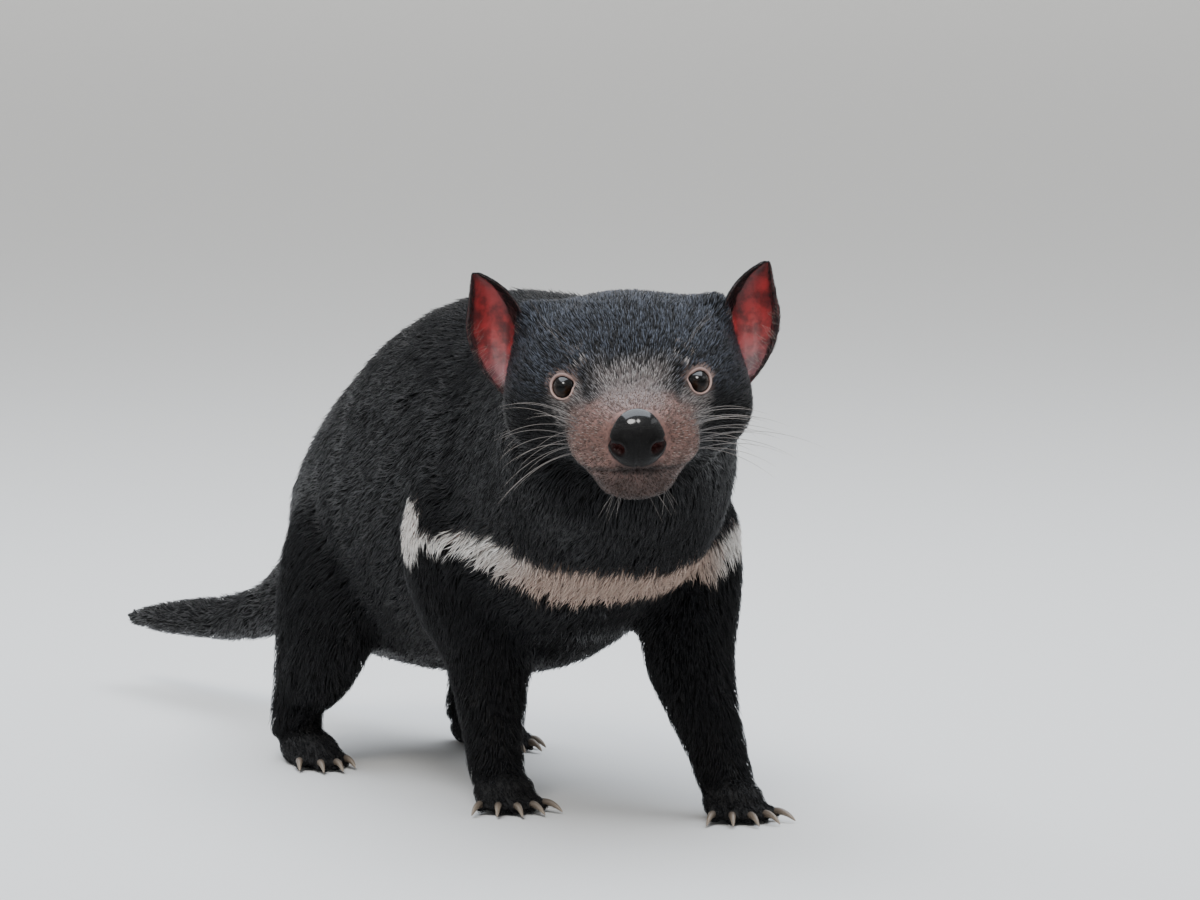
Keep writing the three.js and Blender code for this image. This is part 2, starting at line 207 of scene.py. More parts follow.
def joined_solids(names):
    """One mesh of the named solids, each swollen a little so that they run together."""
    whole = bmesh.new()
    for name in names:
        part = bmesh.new()
        part.from_mesh(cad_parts[name].data)
        bmesh.ops.remove_doubles(part, verts=part.verts, dist=1e-6)
        part.normal_update()
        for vert in part.verts:
            vert.co += vert.normal * SWELL
        mesh = bpy.data.meshes.new(name)
        part.to_mesh(mesh)
        part.free()
        whole.from_mesh(mesh)
        bpy.data.meshes.remove(mesh)
    mesh = bpy.data.meshes.new("flesh")
    whole.to_mesh(mesh)
    whole.free()
    return mesh


def plain_mesh(thing):
    """What a thing's modifiers make of it, as a mesh of its own."""
    evaluated = thing.evaluated_get(bpy.context.evaluated_depsgraph_get())
    return bpy.data.meshes.new_from_object(evaluated)


def new_piece(name, mesh):
    thing = bpy.data.objects.new(name, mesh)
    bpy.context.scene.collection.objects.link(thing)
    return thing


def one_surface(mesh):
    thing = new_piece("flesh", mesh)
    remesh = thing.modifiers.new("one surface", "REMESH")
    remesh.mode, remesh.voxel_size = "VOXEL", VOXEL
    made = plain_mesh(thing)
    bpy.data.objects.remove(thing)
    return made


def finer_where(mesh, chosen):
    """The mesh with each edge between two chosen vertices halved."""
    work = bmesh.new()
    work.from_mesh(mesh)
    work.verts.ensure_lookup_table()
    edges = [e for e in work.edges if chosen[e.verts[0].index] and chosen[e.verts[1].index]]
    bmesh.ops.subdivide_edges(work, edges=edges, cuts=1, use_grid_fill=True)
    work.to_mesh(mesh)
    work.free()
    mesh.update()


def tree_of(names):
    """A search tree over the named solids, and the name of the solid of each of its faces."""
    corners, faces, owners = [], [], []
    for name in names:
        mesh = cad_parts[name].data
        start = sum(len(c) for c in corners)
        corners.append(places_of(mesh))
        found = [tuple(v + start for v in face.vertices) for face in mesh.polygons]
        faces += found
        owners += [name] * len(found)
    return BVHTree.FromPolygons(np.concatenate(corners).tolist(), faces), owners


skin_mesh = one_surface(joined_solids(UNDER_SKIN))
smooth_out(skin_mesh, 6)

# Each paw in body mm: its middle, the way it points, half breadth and length of the palm,
# toes, how far they fan out, and the lengths of a toe and of its claw.
PAWS = {
    "forepaw_right": ((-37, 5), -12, (18, 19), 5, 34, 13, 11),
    "forepaw_left": ((57, -80), -8, (18, 19), 5, 34, 13, 11),
    "hindpaw_right": ((-60, 204), -8, (16, 34), 4, 16, 13, 8),
    "hindpaw_left": ((60, 222), 8, (16, 34), 4, 16, 13, 8),
}
TOE_THICK = 5
PAW_TOP = 18 * MM


def toes_of_paws():
    """Root of each toe on the floor, its way, the reach of its tip and its claw's length."""
    found = []
    for (x, y), turn, (wide, long), toes, fan, length, claw in PAWS.values():
        turn = math.radians(turn)
        across = np.array((math.cos(turn), math.sin(turn), 0))
        onward = np.array((math.sin(turn), -math.cos(turn), 0))
        for offset in np.linspace(-1, 1, toes):
            angle = turn + math.radians(offset * fan)
            root = on_body(x, y, 0) + across * offset * wide * 0.66 * MM
            root += onward * long * (0.72 - 0.3 * offset**2) * MM
            way = np.array((math.sin(angle), -math.cos(angle), 0))
            tip = length * (1 - 0.18 * abs(offset)) + TOE_THICK * 0.7
            found.append((root, way, tip, claw))
    return found


# The voxels blur the toes and the face, so edges are halved there: paws and head once, the
# front of the face twice and the lids three times.
def in_head_or_paw(places):
    x, y, z = to_face(places).T
    return (y > -12) & (np.abs(x) < 70) & (z > -60) | (places[:, 2] < PAW_TOP)


def in_front_of_face(places):
    x, y, z = to_face(places).T
    return (y > 8) & (z > -58) & (z < 17) & (np.abs(x) < 47)


def by_an_eye(places):
    far = [np.linalg.norm(places - eye_at[side], axis=1) for side in SIDES.values()]
    return np.minimum(*far) < 12 * MM


for halved in (in_head_or_paw, in_front_of_face, by_an_eye):
    finer_where(skin_mesh, halved(places_of(skin_mesh)))
    smooth_out(skin_mesh, 4)

# The skin of a paw lies on its solid again, but the solid's claws shrink into its toes.
solids_tree, solid_of_face = tree_of(UNDER_SKIN)
skin_places, skin_edges = places_of(skin_mesh), edges_of(skin_mesh)
found = [solids_tree.find_nearest(Vector(p)) for p in skin_places]
nodes = [solid_of_face[f[2]] for f in found]
part_of = [node if "tail" in node else node.rsplit("_", 1)[0] for node in nodes]
in_paw = np.array(["paw" in part for part in part_of])[:, None]
skin_places = np.where(in_paw, np.array([f[0] for f in found]), skin_places)
in_claw = np.zeros(len(skin_places), bool)
for root, way, tip, _ in toes_of_paws():
    tip *= MM
    along_toe = (skin_places - root) @ way
    aside = np.abs((skin_places - root) @ (way[1], -way[0], 0))
    claw = (along_toe > tip) & (along_toe < tip + 15 * MM) & (aside < 5 * MM)
    claw &= skin_places[:, 2] < 16 * MM
    end = root + way * (tip - 2 * MM) + (0, 0, 4.5 * MM)
    skin_places[claw] = end + (skin_places[claw] - end) * 0.12
    in_claw |= claw
skin_places = smoothed(skin_places, skin_edges, 2)
set_places(skin_mesh, skin_places)

# Coat and lie of the hair pass softly from part to part.
coat = spread(np.array([COAT[part] for part in part_of]), skin_edges, 14)
in_face = to_face(skin_places)
on_head = np.array([[float(part in HEAD_PARTS)] for part in part_of])
on_head = spread(on_head, skin_edges, 6)[:, 0]
eye_near = np.zeros(len(in_face))
for side in SIDES.values():
    far = np.linalg.norm(in_face - (side * 33.5, 15, 1), axis=1)
    eye_near = np.maximum(eye_near, step(far, 24, 10))
toward_face = np.maximum(step(in_face[:, 1], -14, 22), eye_near) * on_head
toward_muzzle = step(in_face[:, 1], 18, 36) * on_head
coat += (FACE_COAT - coat) * toward_face[:, None]
coat += (MUZZLE_COAT - coat) * toward_muzzle[:, None]
coat[:, 0] += (0.7 - coat[:, 0]) * eye_near * on_head

lie = np.array([LIE.get(part, (0, 0, 0)) for part in part_of], float)
back_from_nose = unit(in_face - NOSE_ON_FACE) + (0, 0, 0.12)
lie = lie * (1 - on_head[:, None]) + unit(back_from_nose @ face_axes) * on_head[:, None]
lie = spread(lie, skin_edges, 24)

skin_places = skin_places - normals_of(skin_mesh) * (coat[:, :1] * MM + SWELL)
skin_places = smoothed(skin_places, skin_edges, 2)
# The throat runs smoothly into the neck.
x, y, z = in_face.T
throat = step(z, -40, -52) * step(y, 34, 14) * step(y, -95, -70)
throat *= step(z, -130, -95) * step(np.abs(x), 80, 50)
for _ in range(60):
    skin_places += (spread(skin_places, skin_edges, 1, 0.7) - skin_places) * throat[:, None]

# Eyelids open over the ball and end in a thick pale rim. The inner corner runs on towards
# the nose, and a fold lies under the lower lid.
EYE_RADIUS = 7.4
EYE_OUT = math.radians(22)
INNER_CORNER = math.radians(-20)


def eye_frame(side):
    """Centre of an eyeball in the head's mm, and its ways: where it looks, inwards and up."""
    centre = to_face(eye_at[side])
    look = unit(np.array((side * math.sin(EYE_OUT), math.cos(EYE_OUT), 0.06)))
    inward = unit(np.array((-side * math.cos(EYE_OUT), math.sin(EYE_OUT), 0)))
    return centre, look, inward, np.cross(inward, look) * side


def lid_opening(turn):
    """Half angle of the opening seen from the ball's centre, at each turn round it."""
    corner = np.angle(np.exp(1j * (turn - INNER_CORNER)))
    return np.radians(43 + 5.5 * np.abs(np.sin(turn)) + 14 * np.exp(-((corner / 0.4) ** 2)))


def round_eye(p, side):
    """Places in the head's mm as seen from an eyeball: the way to each, how far it is, how
    many degrees past the edge of the lids, how far in front and how far up."""
    centre, look, inward, upward = eye_frame(side)
    v = p - centre
    far = np.linalg.norm(v, axis=1)
    front, up = v @ look, v @ upward
    angle = np.arccos(np.clip(front / far, -1, 1))
    past = np.degrees(angle - lid_opening(np.arctan2(up, v @ inward)))
    return v, far, past, front, up


def open_lids(p, side):
    v, far, past, _, up = round_eye(p, side)
    lid = EYE_RADIUS + 1.1 * (1 - np.exp(-np.maximum(past, 0) / 4))
    hold = step(past, 40, 24)
    radius = np.where(past < 2, EYE_RADIUS - 1.2, np.maximum(far, lid * hold))
    radius = np.where(far < 20, radius, far)
    fold = np.exp(-(((far - 12.5) / 1.1) ** 2)) * step(up, 1, -5) * step(past, 8, 20)
    radius -= 0.7 * fold
    return p - v + v * (radius / far)[:, None]


face_places = to_face(skin_places)
before = face_places.copy()
for side in SIDES.values():
    face_places = open_lids(face_places, side)

# The mouth is a closed line from under the nose to below the eye, with a dark wet lip on
# each side of it. Whiskers stand on rows of small bumps on the muzzle.
MOUTH_FRONT, MOUTH_BACK, MOUTH_CORNER = -38.5, -34.0, 14.0


def mouth_height(forward):
    return MOUTH_BACK + (MOUTH_FRONT - MOUTH_BACK) * step(forward, MOUTH_CORNER, 50)


face_normals = normals_of(skin_mesh) @ face_axes.T
x, y, z = face_places.T  # views, which follow the places as they move
above_mouth = z - mouth_height(y)
# Each fold along the mouth: how far it stands out, its height over the mouth, half breadth.
lips = sum(out * np.exp(-(((above_mouth - high) / half) ** 2))
           for out, high, half in ((-1.2, 0, 0.8), (0.4, 2.6, 1.4), (0.3, -2.4, 1.4)))
lips *= 0.4 + 0.6 * step(np.abs(x), 22, 8)
face_places += face_normals * (lips * step(y, 6, 16) * on_head)[:, None]
x *= 1 - 0.12 * step(z, -28, -42) * step(y, 14, 30) * on_head  # the jaw narrows
# Round swellings of the head: place, half size and how far they are pushed.
SWELLINGS = (
    ((-50, -42, 37), 9, (-3.5, 0, 5)),  # behind the right ear
    ((50, -42, 37), 9, (3.5, 0, 5)),  # behind the left ear
    ((0, 42, -53), (15, 12, 10), (0, 0, -3.6)),  # chin
    ((-14, 40, -50), (9, 14, 9), (-2.2, 0.5, -1.6)),  # right of the chin
    ((14, 40, -50), (9, 14, 9), (2.2, 0.5, -1.6)),  # left of the chin
)
for place, half, push in SWELLINGS:
    swelling = np.exp(-(((face_places - place) / half) ** 2).sum(1))
    face_places += np.array(push) * (swelling * on_head)[:, None]
philtrum = np.exp(-((x / 0.7) ** 2)) * step(z, -34, -36) * step(z, -39.5, -38)
y -= 1.2 * philtrum * step(y, 50, 56)


def whisker_roots():
    """Rows of whisker roots on one side of the muzzle, before they are laid on the skin."""
    rows = []
    for row in range(5):
        for place in range(3 + row % 2):
            rows.append((24 + row, 47 - 5.4 * place - 1.1 * row, -13 - 4.6 * row))
    return np.array(rows)


in_muzzle = np.flatnonzero((y > 18) & (np.abs(x) > 14))
for side in SIDES.values():
    for bump in whisker_roots():
        gap = face_places[in_muzzle][:, 1:] - bump[1:]
        rise = 0.45 * np.exp(-(gap**2).sum(1) / 1.5) * (x[in_muzzle] * side > 0)
        face_places[in_muzzle] += face_normals[in_muzzle] * rise[:, None]

# The bridge of the muzzle is finely wrinkled. Under the nose pad the skin sinks away.
wrinkle = np.sin(y * 1.9 + 2.2 * np.sin(x * 0.16)) * 0.16 * step(y, 20, 28) * step(y, 50, 43)
wrinkle *= step(np.abs(x), 16, 6) * step(z, -8, 0)
face_places += face_normals * wrinkle[:, None]
NOSE_AT, NOSE_HALF = np.array((0, 59.5, -20.5)), np.array((15, 12, 15))


def nose_edge(p):
    """Less than 1 inside the outline of the nose pad, which is broad low down."""
    across, high = p[:, 0] / NOSE_HALF[0], p[:, 2] - NOSE_AT[2] + 4
    return across**2 + np.abs(high / np.where(high > 0, 19, 12)) ** 1.8


under_pad = step(nose_edge(face_places), 0.98, 0.84) * step(y, 56, 60)
face_places += (NOSE_AT - (0, 4, 0) - face_places) * (0.42 * under_pad * on_head)[:, None]
moved = np.abs(face_places - before).max(1) > 0
skin_places[moved] = on_face(face_places[moved])
set_places(skin_mesh, skin_places)


def lid_rim(side):
    """The rolled rim of an eye's two lids, as rings of places in the head's millimetres."""
    centre, look, inward, upward = eye_frame(side)
    rings = []
    for turn in np.linspace(0, 2 * math.pi, 72, endpoint=False):
        low = 0.5 - 0.5 * math.sin(turn)
        edge = lid_opening(np.array(turn))
        out = inward * math.cos(turn) + upward * math.sin(turn)
        ring = []
        for around in np.linspace(0, 2 * math.pi, 12, endpoint=False):
            wide = math.degrees((0.38 + 0.6 * low) / EYE_RADIUS)
            angle = edge + math.radians(wide * (1 - math.cos(around)) * 0.85)
            radius = EYE_RADIUS + 0.4 + (0.5 + 0.25 * low) * math.sin(around)
            ring.append(centre + (look * math.cos(angle) + out * math.sin(angle)) * radius)
        rings.append(ring)
    return np.array(rings)


def ring_faces(rings, sides):
    """Quads between each ring of places and the next, and between the last and the first."""
    i, j = np.meshgrid(np.arange(rings), np.arange(sides), indexing="ij")
    a = i * sides + j
    b = i * sides + (j + 1) % sides
    c = (i + 1) % rings * sides + (j + 1) % sides
    d = (i + 1) % rings * sides + j
    return np.stack((a, b, c, d), -1).reshape(-1, 4)


def search_tree(mesh):
    return BVHTree.FromPolygons(
        places_of(mesh).tolist(), [tuple(face.vertices) for face in mesh.polygons]
    )


def add_to(mesh, places, faces):
    """The mesh with more places and faces, and its faces turned outwards."""
    work = bmesh.new()
    work.from_mesh(mesh)
    verts = [work.verts.new(p) for p in places]
    made = [work.faces.new([verts[i] for i in face]) for face in faces]
    bmesh.ops.recalc_face_normals(work, faces=made)
    work.to_mesh(mesh)
    work.free()
    mesh.update()


for side in SIDES.values():
    rim = lid_rim(side)
    add_to(skin_mesh, on_face(rim.reshape(-1, 3)), ring_faces(*rim.shape[:2]))
all_places = places_of(skin_mesh)
is_rim = np.arange(len(all_places)) >= len(skin_places)
skin_tree = search_tree(skin_mesh)


def follow(tree, places):
    """The nearest place on a surface to each place, and which way the surface faces there."""
    found = [tree.find_nearest(Vector(p)) for p in places]
    return np.array([f[0] for f in found]), np.array([f[1] for f in found])


# Markings, which skin and coat share. A white band crosses the chest and narrows over each
# shoulder to a neck, beyond which an upright white patch lies. The muzzle is bare and
# pinkish brown, its bridge and the brows are pale. Each strip of white holds places along
# its middle in body mm, and half its breadth there.
WHITE = (
    (  # chest band
        ((-82, 20, 150), 4), ((-76, 1, 149), 3), ((-73, -8, 150), 4), ((-71, -24, 149), 9),
        ((-67, -42, 144), 12), ((-57, -61, 136), 14), ((-45, -71, 130), 17),
        ((-31, -84, 129), 17.5), ((-15, -91, 129), 16), ((12, -90, 131), 14),
        ((36, -79, 135), 12), ((56, -63, 140), 9), ((72, -45, 149), 7.5),
        ((82, -24, 152), 3.5), ((87, -4, 152), 4),
    ),
    (  # patch over the right shoulder
        ((-80, 38, 170), 4), ((-82, 30, 160), 9), ((-84, 28, 151), 11), ((-83, 32, 142), 7),
    ),
    (  # patch over the left shoulder
        ((86, 15, 170), 4), ((88, 7, 160), 9), ((88, 5, 151), 11), ((86, 9, 142), 7),
    ),
)


def wander(places, size, seed):
    """A soft wavering number in about -1 to 1 for each place. size is its wave in mm."""
    rng = np.random.default_rng(seed)
    total = 0
    for _ in range(5):
        way = unit(rng.normal(size=3)) * 2 * math.pi / (size * MM * rng.uniform(0.6, 1.6))
        total = total + np.sin(places @ way + rng.uniform(0, 6.28))
    return total / 2.6


def band_at(places):
    """How white the coat is: 1 on the strips of white and 0 off them."""
    best = np.full(len(places), 9.0)
    for strip in WHITE:
        points, _ = follow(skin_tree, [on_body(*place) for place, _ in strip])
        halves = np.array([half for _, half in strip]) * MM
        for i in range(len(points) - 1):
            along = points[i + 1] - points[i]
            t = np.clip((places - points[i]) @ along / (along @ along), 0, 1)
            far = np.linalg.norm(places - points[i] - t[:, None] * along, axis=1)
            best = np.minimum(best, far / (halves[i] + (halves[i + 1] - halves[i]) * t))
    return step(best + 0.12 * wander(places, 14, 5), 1.08, 0.92)


def markings_at(places):
    """White band, bare muzzle, pale short hair, grizzled crown with a painted blue sheen, and
    painted shade on the chin, from 0 to 1.
    """
    p = to_face(places)
    x, y, z = p.T
    aside = np.abs(x)
    ragged = wander(places, 9, 3) * 2.5
    head = step(y, -75, -60) * step(aside, 90, 70) * step(z, -66, -56)
    # The bare skin ends further forward on the bridge than on the cheeks. Below the nose it
    # gives way to black as a painted shadow, and it is dusky along the lips.
    on_top = step(z, -12, -3)
    side_edge, top_edge = step(y + ragged, 19, 28), step(y + ragged, 27, 41)
    bare = side_edge + (top_edge - side_edge) * on_top
    bare = bare * step(z + ragged, -62, -50)
    bare = bare * step(aside + ragged - 6 * step(z, -34, -50), 42, 36)
    # Painted shadow under the nose pad.
    shadow_under_nose = step(z, -31, -35) * step(z, -44, -38) * step(y, 42, 50)
    bare = bare * (1 - 0.8 * shadow_under_nose * step(aside, 15, 6))
    lip = np.exp(-(((z - mouth_height(y) - 0.6) / 1.5) ** 2))
    bare = bare * (1 - 0.62 * lip * step(aside, 4, 12))
    # Pale hair lies on the bridge, below the inner corner of each eye and in a short brow.
    pale = step(y + ragged * 2, 8, 26) * on_top * step(aside, 27, 12)
    pale = pale * step(z + ragged, 19, 8)
    for side in SIDES.values():
        far = np.linalg.norm(p - (side * 30, 20, -9), axis=1)
        pale = np.maximum(pale, 0.8 * step(far + ragged, 16, 8))
        from_brow = p - (side * 25, 0, 13)
        along_brow = np.abs(from_brow @ unit(np.array((side * -0.72, 0, 0.69))))
        off_brow = np.abs(from_brow @ unit(np.array((side * 0.69, 0, 0.72))))
        brow = step(along_brow, 6, 4) * step(off_brow, 1.5, 0.5) * step(y, 0, 6)
        pale = np.maximum(pale, brow)
    # The crown's hair is grizzled, and a painted blue sheen lightens the top of the head, most
    # in the middle and less down its sides.
    grey = step(z, -14, 6) * (0.35 + 0.65 * step(aside, 60, 38))
    # Painted shade darkens the chin and the lower lip, under the overhang of the nose.
    shade = step(z + ragged, -34, -46) * step(y, 20, 32)
    return np.stack((band_at(places), bare * head, pale * head, grey * head, shade * head), 1)


def store(mesh, name, values):
    layer = mesh.attributes.new(name, "FLOAT", "POINT")
    layer.data.foreach_set("value", np.asarray(values, np.float32))


def smooth_shade(mesh):
    mesh.polygons.foreach_set("use_smooth", np.ones(len(mesh.polygons), bool))


# The skin stores the marks at its vertices. It alone has pink lids and a dark mouth line, partly
# its dark lip edge and partly painted shade in the groove, deepest in front under the nose.
MARKS = ("band", "bare", "pale", "grey", "shade")
marks = markings_at(all_places)
marks[:, 1] = np.maximum(marks[:, 1], is_rim * 0.8)
for name, values in zip(MARKS, marks.T):
    store(skin_mesh, name, values)
p = to_face(all_places)
x, y, z = p.T
near_lid = np.zeros(len(p))
for side in SIDES.values():
    _, far, _, front, up = round_eye(p, side)
    below = step(up, 1, -4)
    around = step(far, 11 + 2 * below, 9) * step(front, -2, 3)
    near_lid = np.maximum(near_lid, around * (0.25 + 0.75 * below))
store(skin_mesh, "lid", np.maximum(near_lid * 0.7, is_rim) * (1 - 0.65 * step(z, 0, 7)))
# Dark lip edge with painted shade in the mouth's groove, deepest in front under the nose.
lip_line_shade_mask = np.exp(-(((z - mouth_height(y)) / 1.3) ** 2)) * step(y, 10, 24)
lip_line_shade_mask *= 0.3 + 0.7 * step(np.abs(x), 14, 7)
store(skin_mesh, "lip_line_and_shade", lip_line_shade_mask * step(np.abs(x), 60, 40) * (z > -60))
smooth_shade(skin_mesh)
skin = new_piece("skin", skin_mesh)


# Node maths as plain sums: a Value is one socket of a node tree being made.
class Value:
    def __init__(self, tree, socket):
        self.tree, self.socket = tree, socket

    def maths(self, kind, *values):
        return self.tree.node("ShaderNodeMath", {"operation": kind}, *values)

    def __add__(self, other):
        return self.maths("ADD", self, other)

    def __sub__(self, other):
        return self.maths("SUBTRACT", self, other)

    def __rsub__(self, other):
        return self.maths("SUBTRACT", other, self)

    def __mul__(self, other):
        return self.maths("MULTIPLY", self, other)

    def __pow__(self, other):
        return self.maths("POWER", self, other)

    __radd__, __rmul__ = __add__, __mul__


class Nodes:
    """A node tree under construction, whose nodes are added by one method."""

    def __init__(self, tree):
        self.tree, self.nodes = tree, tree.nodes

    def feed(self, socket, value):
        if isinstance(value, Value):
            self.tree.links.new(value.socket, socket)
        else:
            socket.default_value = value

    def node(self, kind, settings, *values, output=0, **named):
        made = self.nodes.new(kind)
        for name, setting in settings.items():
            setattr(made, name, setting)
        for socket, value in zip(made.inputs, values):
            self.feed(socket, value)
        for name, value in named.items():
            self.feed(made.inputs[name.replace("_", " ")], value)
        return Value(self, made.outputs[output]) if made.outputs else None


class Finish(Nodes):
    """A material under construction."""

    def __init__(self, name):
        self.material = bpy.data.materials.new(name)
        self.material.use_nodes = True
        super().__init__(self.material.node_tree)
        self.nodes.clear()
        self.place = self.node("ShaderNodeTexCoord", {}, output="Object")

    def mark(self, name):
        return self.node("ShaderNodeAttribute", {"attribute_name": name}, output="Fac")

    def mix(self, share, first, second):
        made = self.nodes.new("ShaderNodeMix")
        made.data_type = "RGBA"
        for index, value in ((0, share), (6, first), (7, second)):
            if isinstance(value, tuple):
                value = (*value, 1)
            self.feed(made.inputs[index], value)
        return Value(self, made.outputs[2])

    def noise(self, scale, detail=2.0, rough=0.5):
        return self.node("ShaderNodeTexNoise", {}, Vector=self.place, Scale=scale,
                         Detail=detail, Roughness=rough)

    def between(self, value, low, high):
        """0 where a value is below low and 1 where it is above high."""
        return self.node("ShaderNodeMapRange", {"interpolation_type": "SMOOTHSTEP"},
                         value, low, high)

    def bump(self, height, distance, strength):
        return self.node("ShaderNodeBump", {}, Strength=strength, Distance=distance,
                         Height=height)

    def surface(self, **named):
        shader = self.node("ShaderNodeBsdfPrincipled", {}, **named)
        self.node("ShaderNodeOutputMaterial", {}, shader)
        return self.material


# Skin finish: black under the coat, mottled pinkish brown and finely pored on the muzzle, with
# painted shade on the chin, pink and moist on the lids, and dark along the mouth from its dark
# lips and painted shade in the groove.
def skin_finish():
    f = Finish("skin")
    mottle = f.noise(260, 4, 0.65)
    spots = f.between(f.noise(620, 2), 0.42, 0.66)
    flesh = f.mix(f.between(mottle, 0.3, 0.7), (0.215, 0.11, 0.088), (0.11, 0.056, 0.046))
    flesh = f.mix(spots * 0.5, flesh, (0.06, 0.034, 0.03))
    # Painted shade on the chin.
    flesh = f.mix(f.mark("shade") * 0.9, flesh, (0.033, 0.016, 0.012))
    colour = f.mix(f.mark("bare"), (0.006, 0.0055, 0.0055), flesh)
    colour = f.mix(f.mark("pale") ** 2 * 0.75, colour, (0.155, 0.13, 0.125))
    colour = f.mix(f.mark("band") * 0.8, colour, (0.36, 0.27, 0.24))
    colour = f.mix(f.mark("lid"), colour, (0.50, 0.34, 0.30))
    # Dark lips and painted shade along the mouth line.
    colour = f.mix(f.mark("lip_line_and_shade") * 0.9, colour, (0.022, 0.013, 0.012))
    pores = f.node("ShaderNodeTexVoronoi", {}, Vector=f.place, Scale=900.0)
    height = f.between(pores, 0.0, 0.5) * 0.5 + mottle
    rough = 0.85 - f.mark("bare") * 0.27 - f.mark("lid") * 0.2
    return f.surface(Base_Color=colour, Roughness=rough, IOR=1.42,
                     Normal=f.bump(height, 0.0004, 0.6))


skin_mesh.materials.append(skin_finish())
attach(skin, "root")
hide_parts(*FLESH)

# The coat is short, straight guard hair that lies close and backwards. Each tuft is a thin
# three-sided blade that follows the skin at the coat's depth and ends in a point.
TUFT_PLACES = 7
TUFT_TRIANGLES = np.array([(0, 1, 2), (3, 6, 4), (4, 6, 5), (5, 6, 3)])
TUFT_QUADS = np.array([(0, 3, 4, 1), (1, 4, 5, 2), (2, 5, 3, 0)])
ALONG = np.array((0, 0, 0, 0.5, 0.5, 0.5, 1))
ACROSS = np.array((0, 0.5, 1, 0.1, 0.5, 0.9, 0.5))
TUFTS_A_PIECE = 19_000  # of ten triangles each
PATCH = 0.003  # size of a tuft's patch on the unwrap


class Ground:
    """A surface that hair grows on: its triangles, and what the coat is like at its vertices."""

    def __init__(self, mesh, lie, coat, tree):
        mesh.calc_loop_triangles()
        found = np.empty(len(mesh.loop_triangles) * 3, np.int32)
        mesh.loop_triangles.foreach_get("vertices", found)
        self.corners = found.reshape(-1, 3)
        self.places, self.normals = places_of(mesh), normals_of(mesh)
        self.lie, self.coat, self.tree = lie, coat, tree

    def scatter(self, rng, wanted):
        """Roots drawn over the wanted triangles, as closely as the coat asks for."""
        tri = self.corners[wanted]
        a, b, c = (self.places[tri[:, i]] for i in range(3))
        area = np.linalg.norm(np.cross(b - a, c - a), axis=1) / 2
        gap = self.coat[tri].mean(1)[:, 3] * MM
        which = np.repeat(np.arange(len(tri)), rng.poisson(area / gap**2))
        u, v = rng.random((2, len(which)))
        flip = u + v > 1
        u, v = np.where(flip, 1 - u, u), np.where(flip, 1 - v, v)
        share = np.stack((1 - u - v, u, v), 1)[:, :, None]
        pick = tri[which]
        at = (self.places[pick] * share).sum(1)
        normal = unit((self.normals[pick] * share).sum(1))
        lie = (self.lie[pick] * share).sum(1)
        coat = (self.coat[pick] * share).sum(1)
        return at, normal, lie, coat


def flat_to(way, normal):
    return unit(way - normal * (way * normal).sum(1, keepdims=True))


def tuft_places(ground, roots, rng):
    """Seven places for each tuft: three at its root, three at its bend and its tip."""
    at, normal, lie, coat = roots
    count = len(at)
    depth, length, width = coat[:, :3].T * MM
    length = length * rng.uniform(0.7, 1.2, count)
    way = flat_to(lie, normal)
    aside = np.cross(normal, way)
    calm = np.clip(length / (12 * MM), 0.35, 1)
    turn = 0.20 * wander(at, 30, 11) + 0.16 * wander(at, 9, 12) + rng.normal(0, 0.12, count)
    turn = turn * calm
    way = unit(way + aside * np.tan(turn)[:, None])
    middle, middle_normal = follow(ground.tree, at + way * (length * 0.5)[:, None])
    onward = flat_to(way, middle_normal)
    end, end_normal = follow(ground.tree, middle + onward * (length * 0.5)[:, None])
    loose = rng.uniform(0.55, 1.1, count)
    bend = middle + middle_normal * (depth * loose * 0.72)[:, None]
    tip = end + end_normal * (depth * loose * rng.uniform(0.7, 1.15, count))[:, None]
    root = at - normal * 0.0003
    made = np.empty((count, TUFT_PLACES, 3))
    for first, centre, up, forward, size in (
        (0, root, normal, bend - root, width),
        (3, bend, middle_normal, tip - root, width * 0.85),
    ):
        across = unit(np.cross(up, forward))
        made[:, first] = centre - across * (size / 2)[:, None]
        made[:, first + 1] = centre + across * (size / 2)[:, None]
        made[:, first + 2] = centre + unit(up) * (size * 0.42)[:, None]
    made[:, 6] = tip
    return made


def mesh_of_tufts(name, places, patches, chance, marks):
    """The tufts as one mesh, with their patches, their marks and how far along they are."""
    count = len(places)
    base = (np.arange(count) * TUFT_PLACES)[:, None, None]
    triangles = (TUFT_TRIANGLES + base).reshape(-1)
    quads = (TUFT_QUADS + base).reshape(-1)
    mesh = bpy.data.meshes.new(name)
    mesh.vertices.add(count * TUFT_PLACES)
    mesh.vertices.foreach_set("co", places.astype(np.float32).ravel())
    corners = np.concatenate((triangles, quads)).astype(np.int32)
    mesh.loops.add(len(corners))
    mesh.loops.foreach_set("vertex_index", corners)
    sizes = np.repeat((3, 4), (len(triangles) // 3, len(quads) // 4))
    mesh.polygons.add(len(sizes))
    starts = np.concatenate(((0,), np.cumsum(sizes)[:-1])).astype(np.int32)
    mesh.polygons.foreach_set("loop_start", starts)
    mesh.update(calc_edges=True)
    smooth_shade(mesh)
    layer = mesh.uv_layers.new(name="OFBake")
    uv = patches[:, None] + np.stack((ACROSS, ALONG), 1) * PATCH
    uv = uv.reshape(-1, 2)[corners]
    layer.data.foreach_set("uv", uv.astype(np.float32).ravel())
    store(mesh, "along", np.tile(ALONG, count))
    store(mesh, "chance", np.repeat(chance, TUFT_PLACES))
    for mark, values in zip(MARKS, marks.T):
        store(mesh, mark, np.repeat(values, TUFT_PLACES))
    return mesh


